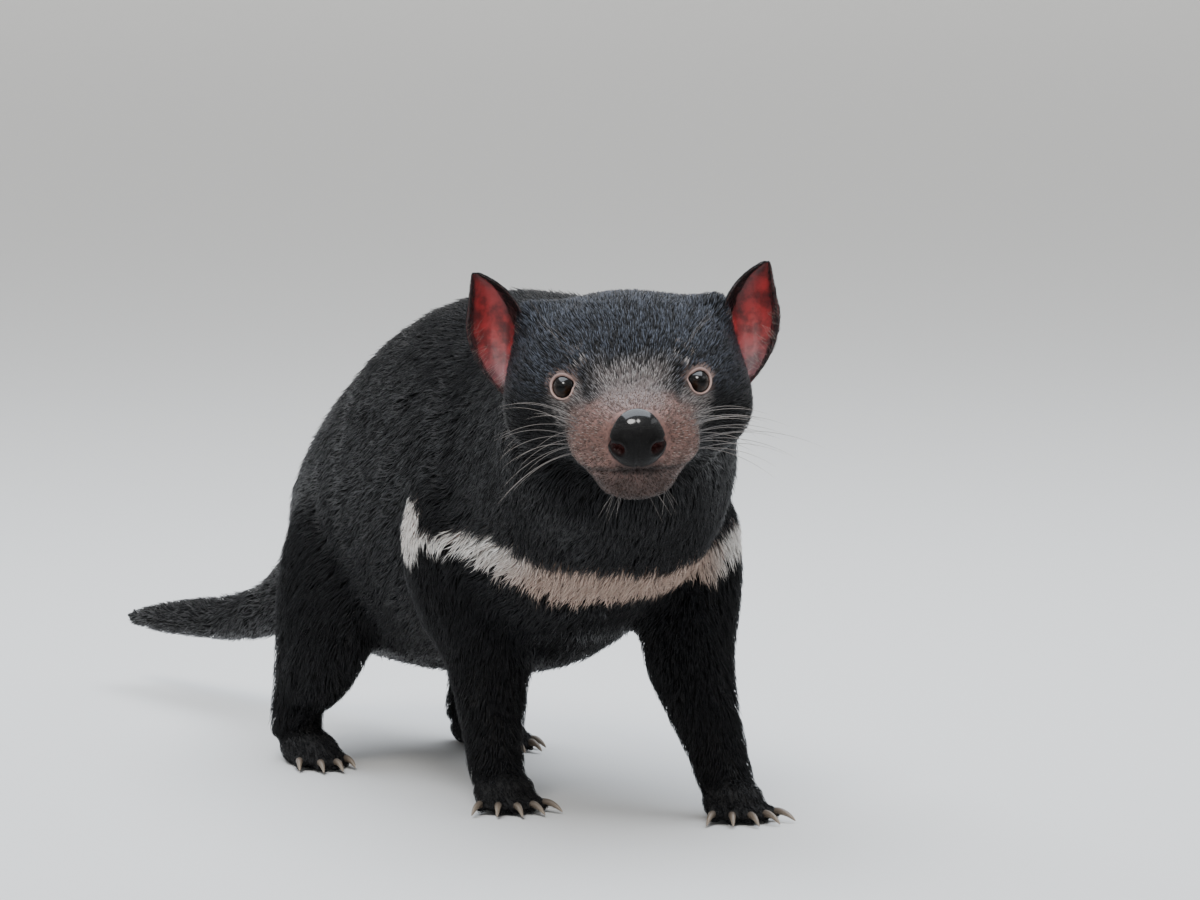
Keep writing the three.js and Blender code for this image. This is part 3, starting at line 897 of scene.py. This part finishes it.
def coat_finish():
    """Glossy black hair with lighter tips, under the skin's marks: grizzled tips and a painted
    blue sheen on the crown, painted shade on the chin. White turns tan in the middle of the
    chest, within about 50 mm of the midline, partly a tan tint and partly painted shadow of the
    head."""
    f = Finish("coat")
    along, chance = f.mark("along"), f.mark("chance")
    black = f.mix(along, (0.002, 0.002, 0.0022), (0.008, 0.008, 0.0095))
    black = f.mix(f.between(chance, 0.8, 1.0) * 0.5, black, (0.017, 0.016, 0.017))
    silver = f.between(chance, 0.35, 0.95) * along
    # Grizzled tips on the crown, with a painted blue sheen.
    colour = f.mix(f.mark("grey") * silver * 0.8, black, (0.185, 0.21, 0.27))
    colour = f.mix(f.mark("pale") * f.between(chance, 0.1, 0.6), colour, (0.38, 0.35, 0.335))
    muzzle = f.mix(f.between(chance, 0.15, 0.85), (0.085, 0.049, 0.04), (0.24, 0.155, 0.127))
    muzzle = f.mix(f.between(chance, 0.86, 0.9) * 0.7, muzzle, (0.42, 0.36, 0.32))
    # Painted shade darkens the muzzle's hair on the chin.
    muzzle = f.mix(f.mark("shade") * 0.9, muzzle, (0.036, 0.019, 0.014))
    colour = f.mix(f.mark("bare") * 0.92, colour, muzzle)
    white = f.mix(chance, (0.88, 0.85, 0.81), (0.68, 0.62, 0.57))
    # Partly a tan tint of the white hair and partly painted shadow of the head over the chest.
    tan = f.mix(chance, (0.62, 0.47, 0.39), (0.42, 0.30, 0.24))
    off_middle = f.node("ShaderNodeSeparateXYZ", {}, f.place, output="X") - home[0]
    white = f.mix(f.between(off_middle * off_middle, 0.046**2, 0.07**2), tan, white)
    colour = f.mix(f.mark("band"), colour, white)
    return f.surface(Base_Color=colour, Roughness=0.38, IOR=1.45, Specular_IOR_Level=0.3)


coat_material = coat_finish()


def patch_of(places, legs):
    """Places on an unwrap of the skin, from 0 to 1. A part of the body is rolled out flat, and
    a pair of legs as two strips side by side."""
    strip = (places[:, 0] > home[0]) * legs
    strips = 1 + legs
    turned, length = (1, 2) if legs else (2, 1)
    result = np.empty((len(places), 2))
    for i in range(strips):
        mine = strip == i
        p = places[mine] - (places[mine].min(0) + places[mine].max(0)) / 2
        turn = np.arctan2(p[:, turned], p[:, 0]) / (2 * math.pi) + 0.5
        run = p[:, length]
        run = (run - run.min()) / np.ptp(run)
        result[mine, 0] = 0.004 + run * 0.988
        result[mine, 1] = (i + 0.02 + turn * 0.9) / strips
    return result


def grow(name, ground, wanted, rng, marking=markings_at):
    """Covers the wanted triangles of a ground with tufts, in as many pieces as they need."""
    roots = ground.scatter(rng, wanted)
    places = tuft_places(ground, roots, rng)
    order = np.argsort(roots[0][:, 1], kind="stable")
    marks = marking(roots[0])
    chance = rng.random(len(order))
    patches = patch_of(roots[0], int(name.endswith("legs")))
    lots = np.array_split(order, max(1, math.ceil(len(order) / TUFTS_A_PIECE)))
    for i, lot in enumerate(lots):
        mesh = mesh_of_tufts(name, places[lot], patches[lot], chance[lot], marks[lot])
        mesh.materials.append(coat_material)
        piece = new_piece(f"{name}_{i + 1}" if len(lots) > 1 else name, mesh)
        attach(piece, "root")


# No hair grows on the rims of the lids, in the opening of an eye, under the nose pad or
# where the claws stand.
rims = np.count_nonzero(is_rim)
lie = np.concatenate((lie, np.zeros((rims, 3))))
coat = np.concatenate((coat, np.ones((rims, 4))))
skin_ground = Ground(skin_mesh, lie, coat, skin_tree)
hairless = is_rim | (nose_edge(p) < 1.12) & (y > 58) & (np.abs(x) < 17)
hairless[: len(in_claw)] |= in_claw
for side in SIDES.values():
    _, far, past, _, _ = round_eye(p, side)
    hairless |= (past < math.degrees(0.17)) & (far < EYE_RADIUS + 3)
tri_part = np.array(part_of + ["eye"] * rims)[skin_ground.corners[:, 0]]
tri_haired = ~hairless[skin_ground.corners].any(1)

rng = np.random.default_rng(2)
AREAS = {
    "coat_head": HEAD_PARTS,
    "coat_neck": ("neck",),
    "coat_torso": ("torso",),
    "coat_tail": ("tail_base", "tail_tip"),
    "coat_forelegs": ("foreleg", "forepaw"),
    "coat_hindlegs": ("hindleg", "hindpaw"),
}
for name, members in AREAS.items():
    grow(name, skin_ground, np.isin(tri_part, members) & tri_haired, rng)

# Ears: leaf-shaped cups of thin skin on the sides of the skull, open forwards and a little
# outwards. They are bare and red inside, with a fold down the hollow and a deep pink foot,
# and black-haired behind. EAR_LEAF holds height, distance from the midline, half breadth.
EAR_LEAF = np.array([
    (-8, 61.5, 1.5), (2, 65, 7.5), (11, 66, 12.5), (20, 66.5, 15.3), (29, 66.7, 16.2),
    (37, 67, 14.6), (45, 69, 11), (51, 72, 6.8), (55.5, 75.5, 2),
])
EAR_FOOT, EAR_LEAN = -38, 12  # how far forward its foot stands, and how far back it leans
EAR_CUP, EAR_WALL = 0.85, 2.0
EAR_SPREAD = math.radians(24)
EAR_ROWS, EAR_COLUMNS = 40, 26
EAR_COAT = (0.8, 4.6, 0.36, 1.05)


def along_curve(points, shares):
    """Places at the given shares of a smooth curve through the points."""
    before, after = 2 * points[0] - points[1], 2 * points[-1] - points[-2]
    points = np.concatenate((before[None], points, after[None]))
    at = np.clip(shares, 0, 0.99999) * (len(points) - 3)
    i = at.astype(int)
    t = (at - i)[:, None]
    a, b, c, d = (points[i + k] for k in range(4))
    return 0.5 * (2 * b + (c - a) * t + (2 * a - 5 * b + 4 * c - d) * t**2
                  + (3 * b - a - 3 * c + d) * t**3)


def ear_rings(side):
    """Rings round an ear from its foot to its tip: across the hollow and back behind it."""
    share = np.linspace(0, 1, EAR_ROWS)[:, None]
    high, away, half = (along_curve(EAR_LEAF, share[:, 0])[:, k, None] for k in range(3))
    t = np.linspace(-1, 1, EAR_COLUMNS)[None]
    hollow = 1 - t**2
    wall = EAR_WALL * (1 - 0.4 * share)
    fold = np.exp(-(((t - 0.32 + 0.3 * share) / 0.2) ** 2))
    fold = fold * step(share, 0.1, 0.3) * step(share, 0.8, 0.55)
    small_fold = 0.6 * np.exp(-(((t + 0.42 - 0.2 * share) / 0.18) ** 2))
    fold += small_fold * step(share, 0.2, 0.35) * step(share, 0.7, 0.5)
    inner = EAR_CUP * half * hollow - fold
    outer = (EAR_CUP * half + wall) * hollow + wall * 0.4
    across = np.concatenate((half * t, ((half + wall * 0.25) * t)[:, ::-1]), 1)
    sink = np.concatenate((inner, outer[:, ::-1]), 1)
    x = away + across * math.cos(EAR_SPREAD) - sink * math.sin(EAR_SPREAD)
    y = EAR_FOOT - EAR_LEAN * share - across * math.sin(EAR_SPREAD)
    y = y - sink * math.cos(EAR_SPREAD)
    return np.stack((x * side, y, np.broadcast_to(high, x.shape)), -1)


def ear_finish():
    f = Finish("ear")
    inside, high, edge = f.mark("inside"), f.mark("high"), f.mark("edge")
    blotch = f.between(f.noise(110, 4, 0.6), 0.35, 0.68)
    # The bright red of the upper hollow is partly the skin's own colour and partly a painted
    # glow of light shining through the ear from behind.
    red_and_backlit_glow = f.mix(blotch, (0.36, 0.028, 0.03), (0.085, 0.011, 0.012))
    pink = f.mix(blotch, (0.22, 0.062, 0.066), (0.08, 0.022, 0.024))
    colour = f.mix(f.between(high, 0.12, 0.42), pink, red_and_backlit_glow)
    colour = f.mix(f.between(high, 0.72, 1.0) * 0.75, colour, (0.05, 0.014, 0.014))
    colour = f.mix(edge * 0.9, colour, (0.02, 0.011, 0.011))
    colour = f.mix(inside, (0.012, 0.011, 0.011), colour)
    return f.surface(Base_Color=colour, Roughness=0.5, Subsurface_Weight=0.3,
                     Subsurface_Scale=0.003, Normal=f.bump(f.noise(340, 5, 0.6), 0.0006, 0.5))


ear_material = ear_finish()


def no_marks(places):
    return np.zeros((len(places), len(MARKS)))


def tube_mesh(name, rings):
    """A mesh of rings of places in the head's mm, each joined to the next and the ends shut."""
    mesh = bpy.data.meshes.new(name)
    rows, round_it = rings.shape[:2]
    faces = ring_faces(rows, round_it)[: (rows - 1) * round_it]
    add_to(mesh, on_face(rings.reshape(-1, 3)), faces)
    work = bmesh.new()
    work.from_mesh(mesh)
    bmesh.ops.holes_fill(work, edges=work.edges, sides=0)
    bmesh.ops.recalc_face_normals(work, faces=work.faces)
    work.to_mesh(mesh)
    work.free()
    smooth_shade(mesh)
    return mesh


def add_ear(side, name, rng):
    rings = ear_rings(side)
    mesh = tube_mesh(name, rings)
    rows, round_it = rings.shape[:2]
    share = np.repeat(np.linspace(0, 1, rows), round_it)
    t = np.linspace(-1, 1, EAR_COLUMNS)
    t = np.tile(np.concatenate((t, t[::-1])), rows)
    inside = np.tile(np.arange(round_it) < EAR_COLUMNS, rows).astype(float)
    store(mesh, "inside", inside)
    store(mesh, "high", share)
    # The hair on the inner edge spreads over the rim, and more so towards the tip.
    band = -0.72 + 0.6 * step(share, 0.15, 0.7)
    edge = np.maximum(step(t, 0.78, 0.9), 1 - step(t, band - 0.14, band + 0.14))
    edge = np.maximum(edge, step(share, 0.1, 0.02))
    store(mesh, "edge", edge)
    mesh.materials.append(ear_material)
    ear = new_piece(name, mesh)
    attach(ear, "root")
    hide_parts(name)

    lie = np.tile(np.array((side * 0.25, -0.15, 1.0)) @ face_axes, (len(share), 1))
    hair = np.tile(EAR_COAT, (len(share), 1))
    hair *= 1 - np.outer(inside, (0.3, 0.25, 0.45, 0.3))
    ground = Ground(mesh, lie, hair, search_tree(mesh))
    haired = (inside < 0.5) | (edge > 0.4)
    grow(f"coat_{name}", ground, haired[ground.corners].all(1), rng, no_marks)
    return rings


ear_rng = np.random.default_rng(4)
ear_shapes = {side: add_ear(side, f"ear_{name}", ear_rng) for name, side in SIDES.items()}

# Nose pad: wet black skin, broad and rounded, with a comma-shaped nostril at each side and a
# groove down the middle. It is seated in the end of the muzzle.
NOSE_RINGS, NOSE_AROUND = 64, 96
# A nostril as three round pits: how far aside and up each lies, its breadth and its rim.
NOSTRIL = ((9.0, -5.6, 2.3, 0.5), (11.4, -4.6, 1.8, 0), (13.6, -1.8, 1.4, 0))


def pad_places():
    """The nose pad's skin in the head's millimetres, with its nostrils' depth and its gloss."""
    tilt = np.linspace(0.004, 1.9, NOSE_RINGS)
    turn = np.linspace(0, 2 * math.pi, NOSE_AROUND, endpoint=False)
    tilt, turn = np.meshgrid(tilt, turn, indexing="ij")
    way = np.stack((np.sin(tilt) * np.cos(turn), np.cos(tilt), np.sin(tilt) * np.sin(turn)), -1)
    flat = way.reshape(-1, 3) * NOSE_HALF
    p = NOSE_AT + flat / np.linalg.norm(flat / NOSE_HALF, axis=1, keepdims=True)
    out = unit((p - NOSE_AT) / NOSE_HALF**2)
    lift = 1.3 - 4.4 * step(nose_edge(p), 0.82, 1.04)
    lift -= 0.8 * np.exp(-((p[:, 0] / 0.9) ** 2)) * step(p[:, 2], -20, -26)
    lift += 0.5 * np.exp(-(((np.abs(p[:, 0]) - 6) / 4) ** 2 + ((p[:, 2] + 13) / 5) ** 2))
    pit = np.zeros(len(p))
    for side in SIDES.values():
        for x, z, wide, rim in NOSTRIL:
            y = NOSE_HALF[1] * math.sqrt(1 - (x / 15.3) ** 2 - (z / 15) ** 2)
            far = np.linalg.norm(p - NOSE_AT - (side * x, y, z), axis=1)
            pit = np.maximum(pit, np.exp(-((far / wide) ** 3)))
            lift += rim * np.exp(-(((far - 4.2) / 1.3) ** 2))
    lift -= 4.2 * pit
    wet = 0.05 + 0.95 * step(out[:, 2], -0.08, 0.42)
    return p + out * lift[:, None], pit, wet


def nose_finish():
    f = Finish("nose")
    grain = f.between(f.node("ShaderNodeTexVoronoi", {}, Vector=f.place, Scale=1500.0), 0.0, 0.6)
    colour = f.mix(f.mark("pit"), (0.003, 0.0026, 0.0026), (0.045, 0.011, 0.01))
    return f.surface(Base_Color=colour, Roughness=0.42, Specular_IOR_Level=0.09,
                     Coat_IOR=1.5, Coat_Weight=f.mark("wet"), Coat_Roughness=0.1,
                     Normal=f.bump(grain, 0.0003, 0.5))


def add_nose():
    places, pit, wet = pad_places()
    mesh = tube_mesh("nose", places.reshape(NOSE_RINGS, NOSE_AROUND, 3))
    store(mesh, "pit", pit)
    store(mesh, "wet", wet)
    mesh.materials.append(nose_finish())
    nose = new_piece("nose", mesh)
    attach(nose, "root")
    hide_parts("nose")


add_nose()


# Eyes: glossy balls behind the lids, with a bulging cornea, a very dark brown iris whose upper
# half is darkened by painted shade, and a round black pupil.
def eye_finish():
    f = Finish("eye")
    brown = f.mix(f.between(f.noise(700, 3), 0.3, 0.7), (0.030, 0.013, 0.006),
                  (0.009, 0.004, 0.002))
    # Painted shade darkens the upper half of the iris to near black, so only its lower half
    # shows the brown.
    brown = f.mix(f.mark("wet"), brown, (0.003, 0.002, 0.0015))
    colour = f.mix(f.mark("pupil"), brown, (0.001, 0.001, 0.001))
    return f.surface(Base_Color=colour, Roughness=0.3, Specular_IOR_Level=0.05,
                     Coat_Weight=f.mark("wet"), Coat_Roughness=0.02, Coat_IOR=1.5)


eye_material = eye_finish()


def add_eye(side, name):
    centre, look, _, _ = eye_frame(side)
    ball = bmesh.new()
    bmesh.ops.create_uvsphere(ball, u_segments=48, v_segments=32, radius=1)
    mesh = bpy.data.meshes.new(name)
    ball.to_mesh(mesh)
    ball.free()
    way = unit(places_of(mesh))
    angle = np.degrees(np.arccos(np.clip(way @ look, -1, 1)))
    cornea = 0.5 * np.exp(-((angle / 30) ** 4))
    set_places(mesh, on_face(centre + way * (EYE_RADIUS - 0.1 + cornea)[:, None]))
    store(mesh, "pupil", step(angle, 19, 15) + step(angle, 38, 44))
    store(mesh, "wet", 0.25 + 0.75 * step(way[:, 2], -0.05, 0.3))
    smooth_shade(mesh)
    mesh.materials.append(eye_material)
    eye = new_piece(name, mesh)
    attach(eye, "root")
    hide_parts(name)


for name, side in SIDES.items():
    add_eye(side, f"eye_{name}")


# Claws: blunt grey-brown horn, five on each forefoot and four on each hind foot, with their
# tips just clear of the floor. Claws, whiskers and other single hairs are bent strands that
# taper to a point. One tree of geometry nodes grows them at the points of a mesh, which
# carry root, way, sag and thickness.
def strand_nodes():
    tree = bpy.data.node_groups.new("strands", "GeometryNodeTree")
    for name, kind in (("Points", "Geometry"), ("Steps", "Int"), ("Sides", "Int"),
                       ("Taper", "Float"), ("Finish", "Material")):
        tree.interface.new_socket(name, in_out="INPUT", socket_type=f"NodeSocket{kind}")
    tree.interface.new_socket("Mesh", in_out="OUTPUT", socket_type="NodeSocketGeometry")
    n = Nodes(tree)
    given = n.nodes.new("NodeGroupInput")
    points, steps, sides, taper, finish = (Value(n, given.outputs[i]) for i in range(5))

    def named(name, kind):
        return n.node("GeometryNodeInputNamedAttribute", {"data_type": kind}, Name=name)

    def vectors(kind, *values):
        return n.node("ShaderNodeVectorMath", {"operation": kind}, *values)

    line = n.node("GeometryNodeCurvePrimitiveLine", {}, End=(0, 0, MM))
    line = n.node("GeometryNodeResampleCurve", {}, Curve=line, Count=steps)
    grown = n.node("GeometryNodeInstanceOnPoints", {}, Points=points, Instance=line)
    grown = n.node("GeometryNodeRealizeInstances", {}, Geometry=grown)
    t = n.node("GeometryNodeSplineParameter", {})
    straight = vectors("MULTIPLY_ADD", named("way", "FLOAT_VECTOR"), t,
                       named("root", "FLOAT_VECTOR"))
    bent = vectors("MULTIPLY_ADD", named("sag", "FLOAT_VECTOR"), t * t, straight)
    grown = n.node("GeometryNodeSetPosition", {}, Geometry=grown, Position=bent)
    grown = n.node("GeometryNodeStoreNamedAttribute", {"data_type": "FLOAT"}, Geometry=grown,
                   Name="along", Value=t)
    profile = n.node("GeometryNodeCurvePrimitiveCircle", {}, Resolution=sides, Radius=1.0)
    size = named("thick", "FLOAT") * (1.03 - t) ** taper
    grown = n.node("GeometryNodeCurveToMesh", {}, Curve=grown, Profile_Curve=profile,
                   Scale=size, Fill_Caps=True)
    grown = n.node("GeometryNodeSetMaterial", {}, Geometry=grown, Material=finish)
    n.feed(n.nodes.new("NodeGroupOutput").inputs[0], grown)
    return tree


strand_tree = strand_nodes()


def add_strands(name, strands, finish, steps, sides, taper):
    """A piece of strands. Each is its root, way and sag as scene vectors and its thickness."""
    root, way, sag = (np.array([s[k] for s in strands]) for k in range(3))
    mesh = bpy.data.meshes.new(name)
    mesh.vertices.add(len(strands))
    set_places(mesh, root)
    for label, vectors in (("root", root), ("way", way), ("sag", sag)):
        layer = mesh.attributes.new(label, "FLOAT_VECTOR", "POINT")
        layer.data.foreach_set("vector", vectors.astype(np.float32).ravel())
    store(mesh, "thick", [s[3] for s in strands])
    thing = new_piece(name, mesh)
    growth = thing.modifiers.new("strands", "NODES")
    growth.node_group = strand_tree
    settings = {"Steps": steps, "Sides": sides, "Taper": taper, "Finish": finish}
    for socket in strand_tree.interface.items_tree:
        if socket.name in settings:
            growth[socket.identifier] = settings[socket.name]
    grown = plain_mesh(thing)
    thing.modifiers.clear()
    thing.data = grown
    smooth_shade(grown)
    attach(thing, "root")


def strand_finish(name, root, tip):
    f = Finish(name)
    return f.surface(Base_Color=f.mix(f.mark("along"), root, tip), Roughness=0.38)


claws = []
up = np.array((0, 0, MM))
for root, way, tip, claw in toes_of_paws():
    base = root + way * (tip - 3.4) * MM + up * 5.6
    claws.append((base, way * (claw + 1.6) * MM + up * 1.6, up * -5.6, 2.1 * MM))
claw_material = strand_finish("claw", (0.09, 0.07, 0.055), (0.26, 0.21, 0.16))
add_strands("claws", claws, claw_material, steps=9, sides=10, taper=0.55)


# Whiskers: long stiff hairs in rows on the muzzle, which sweep back past the cheeks, with a
# few over each eye, on the cheeks and under the chin.
def face_vector(side, vector):
    """A vector on one side of the head, in its own millimetres, as a vector of the scene."""
    return np.array((vector[0] * side, vector[1], vector[2])) @ face_axes * MM


def whisker_strands(rng):
    found = []
    for side in SIDES.values():
        roots = whisker_roots() * (side * 1.25, 1, 1)
        roots, normals = follow(skin_tree, on_face(roots))
        for place, normal in zip(roots, normals):
            _, forward, high = to_face(place)
            back = np.clip((48 - forward) / 26, 0, 1)
            length = rng.uniform(0.6, 1.1) * (40 + 50 * back)
            drop = 0.16 + 0.022 * (high + 20) + rng.normal(0, 0.11)
            way = (0.66, -0.75, drop) if side < 0 else (0.86, -0.36, drop)
            way = np.array(way) + (0, rng.normal(0, 0.06), 0)
            way = face_vector(side, way * length)
            sag = face_vector(side, (-0.05 * length, -0.08 * length, -0.3 * length))
            found.append((place - normal * 0.5 * MM, way, sag, 0.19 * MM))
    return found


def scattered_strands(rng, spots):
    """Bunches of hairs. Each spot is a place, its spread, a count, a way, sag and thickness."""
    found = []
    for side in SIDES.values():
        for place, spread_by, count, way, sag, thick in spots:
            for _ in range(count):
                p = np.array(place) + rng.normal(0, 1, 3) * spread_by
                (root,), (normal,) = follow(skin_tree, [on_face(p * (side, 1, 1))])
                bent = np.array(way) * rng.uniform(0.7, 1.15)
                bent += rng.normal(0, 0.12, 3) * np.linalg.norm(way)
                found.append((root - normal * 0.4 * MM, face_vector(side, bent),
                              face_vector(side, sag), thick * MM))
    return found


whisker_rng = np.random.default_rng(9)
whisker_material = strand_finish("whisker", (0.05, 0.042, 0.04), (0.34, 0.30, 0.27))
add_strands("whiskers", whisker_strands(whisker_rng), whisker_material,
            steps=14, sides=5, taper=0.7)
SPOTS = (
    ((30, 10, 17), (2, 1, 1.5), 3, (9, -4, 22), (6, -8, -2), 0.09),  # over the eye
    ((56, -8, -24), (3, 3, 3), 4, (12, -26, -4), (0, -4, -6), 0.12),  # cheek
    ((12, 42, -56), (5, 6, 1), 7, (5, -6, -13), (0, -5, -1), 0.10),  # chin
)
add_strands("brow_whiskers", scattered_strands(whisker_rng, SPOTS), whisker_material,
            steps=12, sides=5, taper=0.7)


# Fringe: fine pale hairs that grow inwards from the lower edges of the ears, and the pale
# brows, where the hairs stand up a little.
def fringe_strands(rng):
    found = []
    for side, rings in ear_shapes.items():
        for _ in range(110):
            share = rng.uniform(0.06, 0.6) ** 1.2
            inner_edge = rng.random() < 0.6
            column = 0 if inner_edge else EAR_COLUMNS - 1
            column += rng.integers(0, 4) * (1 if inner_edge else -1)
            place = rings[int(share * (EAR_ROWS - 1)), column]
            across = 1 if inner_edge else -1
            length = rng.uniform(4, 8.5) * (1 - 0.5 * share)
            way = np.array((across * side * 0.75, 0.25, 0.55)) + rng.normal(0, 0.22, 3)
            way = unit(way) * length * MM @ face_axes
            sag = np.array((0, -0.25, 0.12)) * length * MM @ face_axes
            found.append((on_face(place), way, sag, 0.07 * MM))
    return found


fringe_material = strand_finish("fringe", (0.16, 0.12, 0.10), (0.50, 0.42, 0.36))
add_strands("ear_fringe", fringe_strands(whisker_rng), fringe_material,
            steps=6, sides=3, taper=0.8)
BROWS = tuple(
    ((x, 12, z), (0.5, 0.4, 0.4), 6, (2, -2.6, 4.6), (0.5, -1.6, -0.4), 0.08)
    for x, z in ((29, 10), (27, 11.8), (25, 13.5), (23, 15), (21.5, 16.4))
)
add_strands("brows", scattered_strands(whisker_rng, BROWS), fringe_material,
            steps=5, sides=3, taper=0.8)


# Lights of a studio: a broad cool one overhead and behind, which lays a sheen on the black
# coat, a soft key from the camera's left and a weak fill. Floor and wall are one pale sweep.
def add_light(name, kind, colour, power, way, place=(0, 0, 0)):
    """A light that shines from a place against the way, which points back towards it."""
    data = bpy.data.lights.new(name, kind)
    data.color, data.energy = colour, power
    light = bpy.data.objects.new(name, data)
    light.location = place
    light.rotation_euler = Vector(way).to_track_quat("Z", "Y").to_euler()
    bpy.context.scene.collection.objects.link(light)
    return data


above, lit = on_body(50, 220, 2000), on_body(0, 0, 150)
overhead = add_light("overhead", "AREA", (0.86, 0.92, 1.0), 90, above - lit, above)
overhead.shape, overhead.size = "SQUARE", 2.4
key = add_light("key", "SUN", (1.0, 0.98, 0.95), 1.7, (-0.6, -0.8, 1.05))
fill = add_light("fill", "SUN", (0.95, 0.97, 1.0), 0.45, (0.9, -0.7, 0.5))
key.angle, fill.angle = math.radians(20), math.radians(40)

world = bpy.data.worlds.new("studio")
bpy.context.scene.world = world
world.use_nodes = True
sky = world.node_tree.nodes["Background"].inputs
sky["Color"].default_value, sky["Strength"].default_value = (0.86, 0.88, 0.90, 1), 0.42
FLOOR_SIDES = 96


def add_floor():
    """A floor that turns up into a wall far behind, as one smooth sheet round the animal."""
    work = bmesh.new()
    rings = []
    for radius, height in ((0, 0), (9, 0), (10, 0.15), (11, 0.7), (11.7, 1.8), (12, 6)):
        rings.append([
            work.verts.new((radius * math.cos(t), radius * math.sin(t), height))
            for t in np.linspace(0, 2 * math.pi, FLOOR_SIDES, endpoint=False)
        ])
    for a, b in zip(rings, rings[1:]):
        for j in range(FLOOR_SIDES):
            k = (j + 1) % FLOOR_SIDES
            work.faces.new((a[j], a[k], b[k], b[j]))
    bmesh.ops.remove_doubles(work, verts=work.verts, dist=1e-6)
    bmesh.ops.recalc_face_normals(work, faces=work.faces)
    mesh = bpy.data.meshes.new("floor")
    work.to_mesh(mesh)
    work.free()
    smooth_shade(mesh)
    floor = new_piece("floor", mesh)
    f = Finish("floor")
    high = f.node("ShaderNodeSeparateXYZ", {}, f.place, output="Z")
    colour = f.mix(f.between(high, 0, 1.6), (0.72, 0.72, 0.71), (0.93, 0.93, 0.93))
    mesh.materials.append(f.surface(Base_Color=colour, Roughness=0.8))


add_floor()
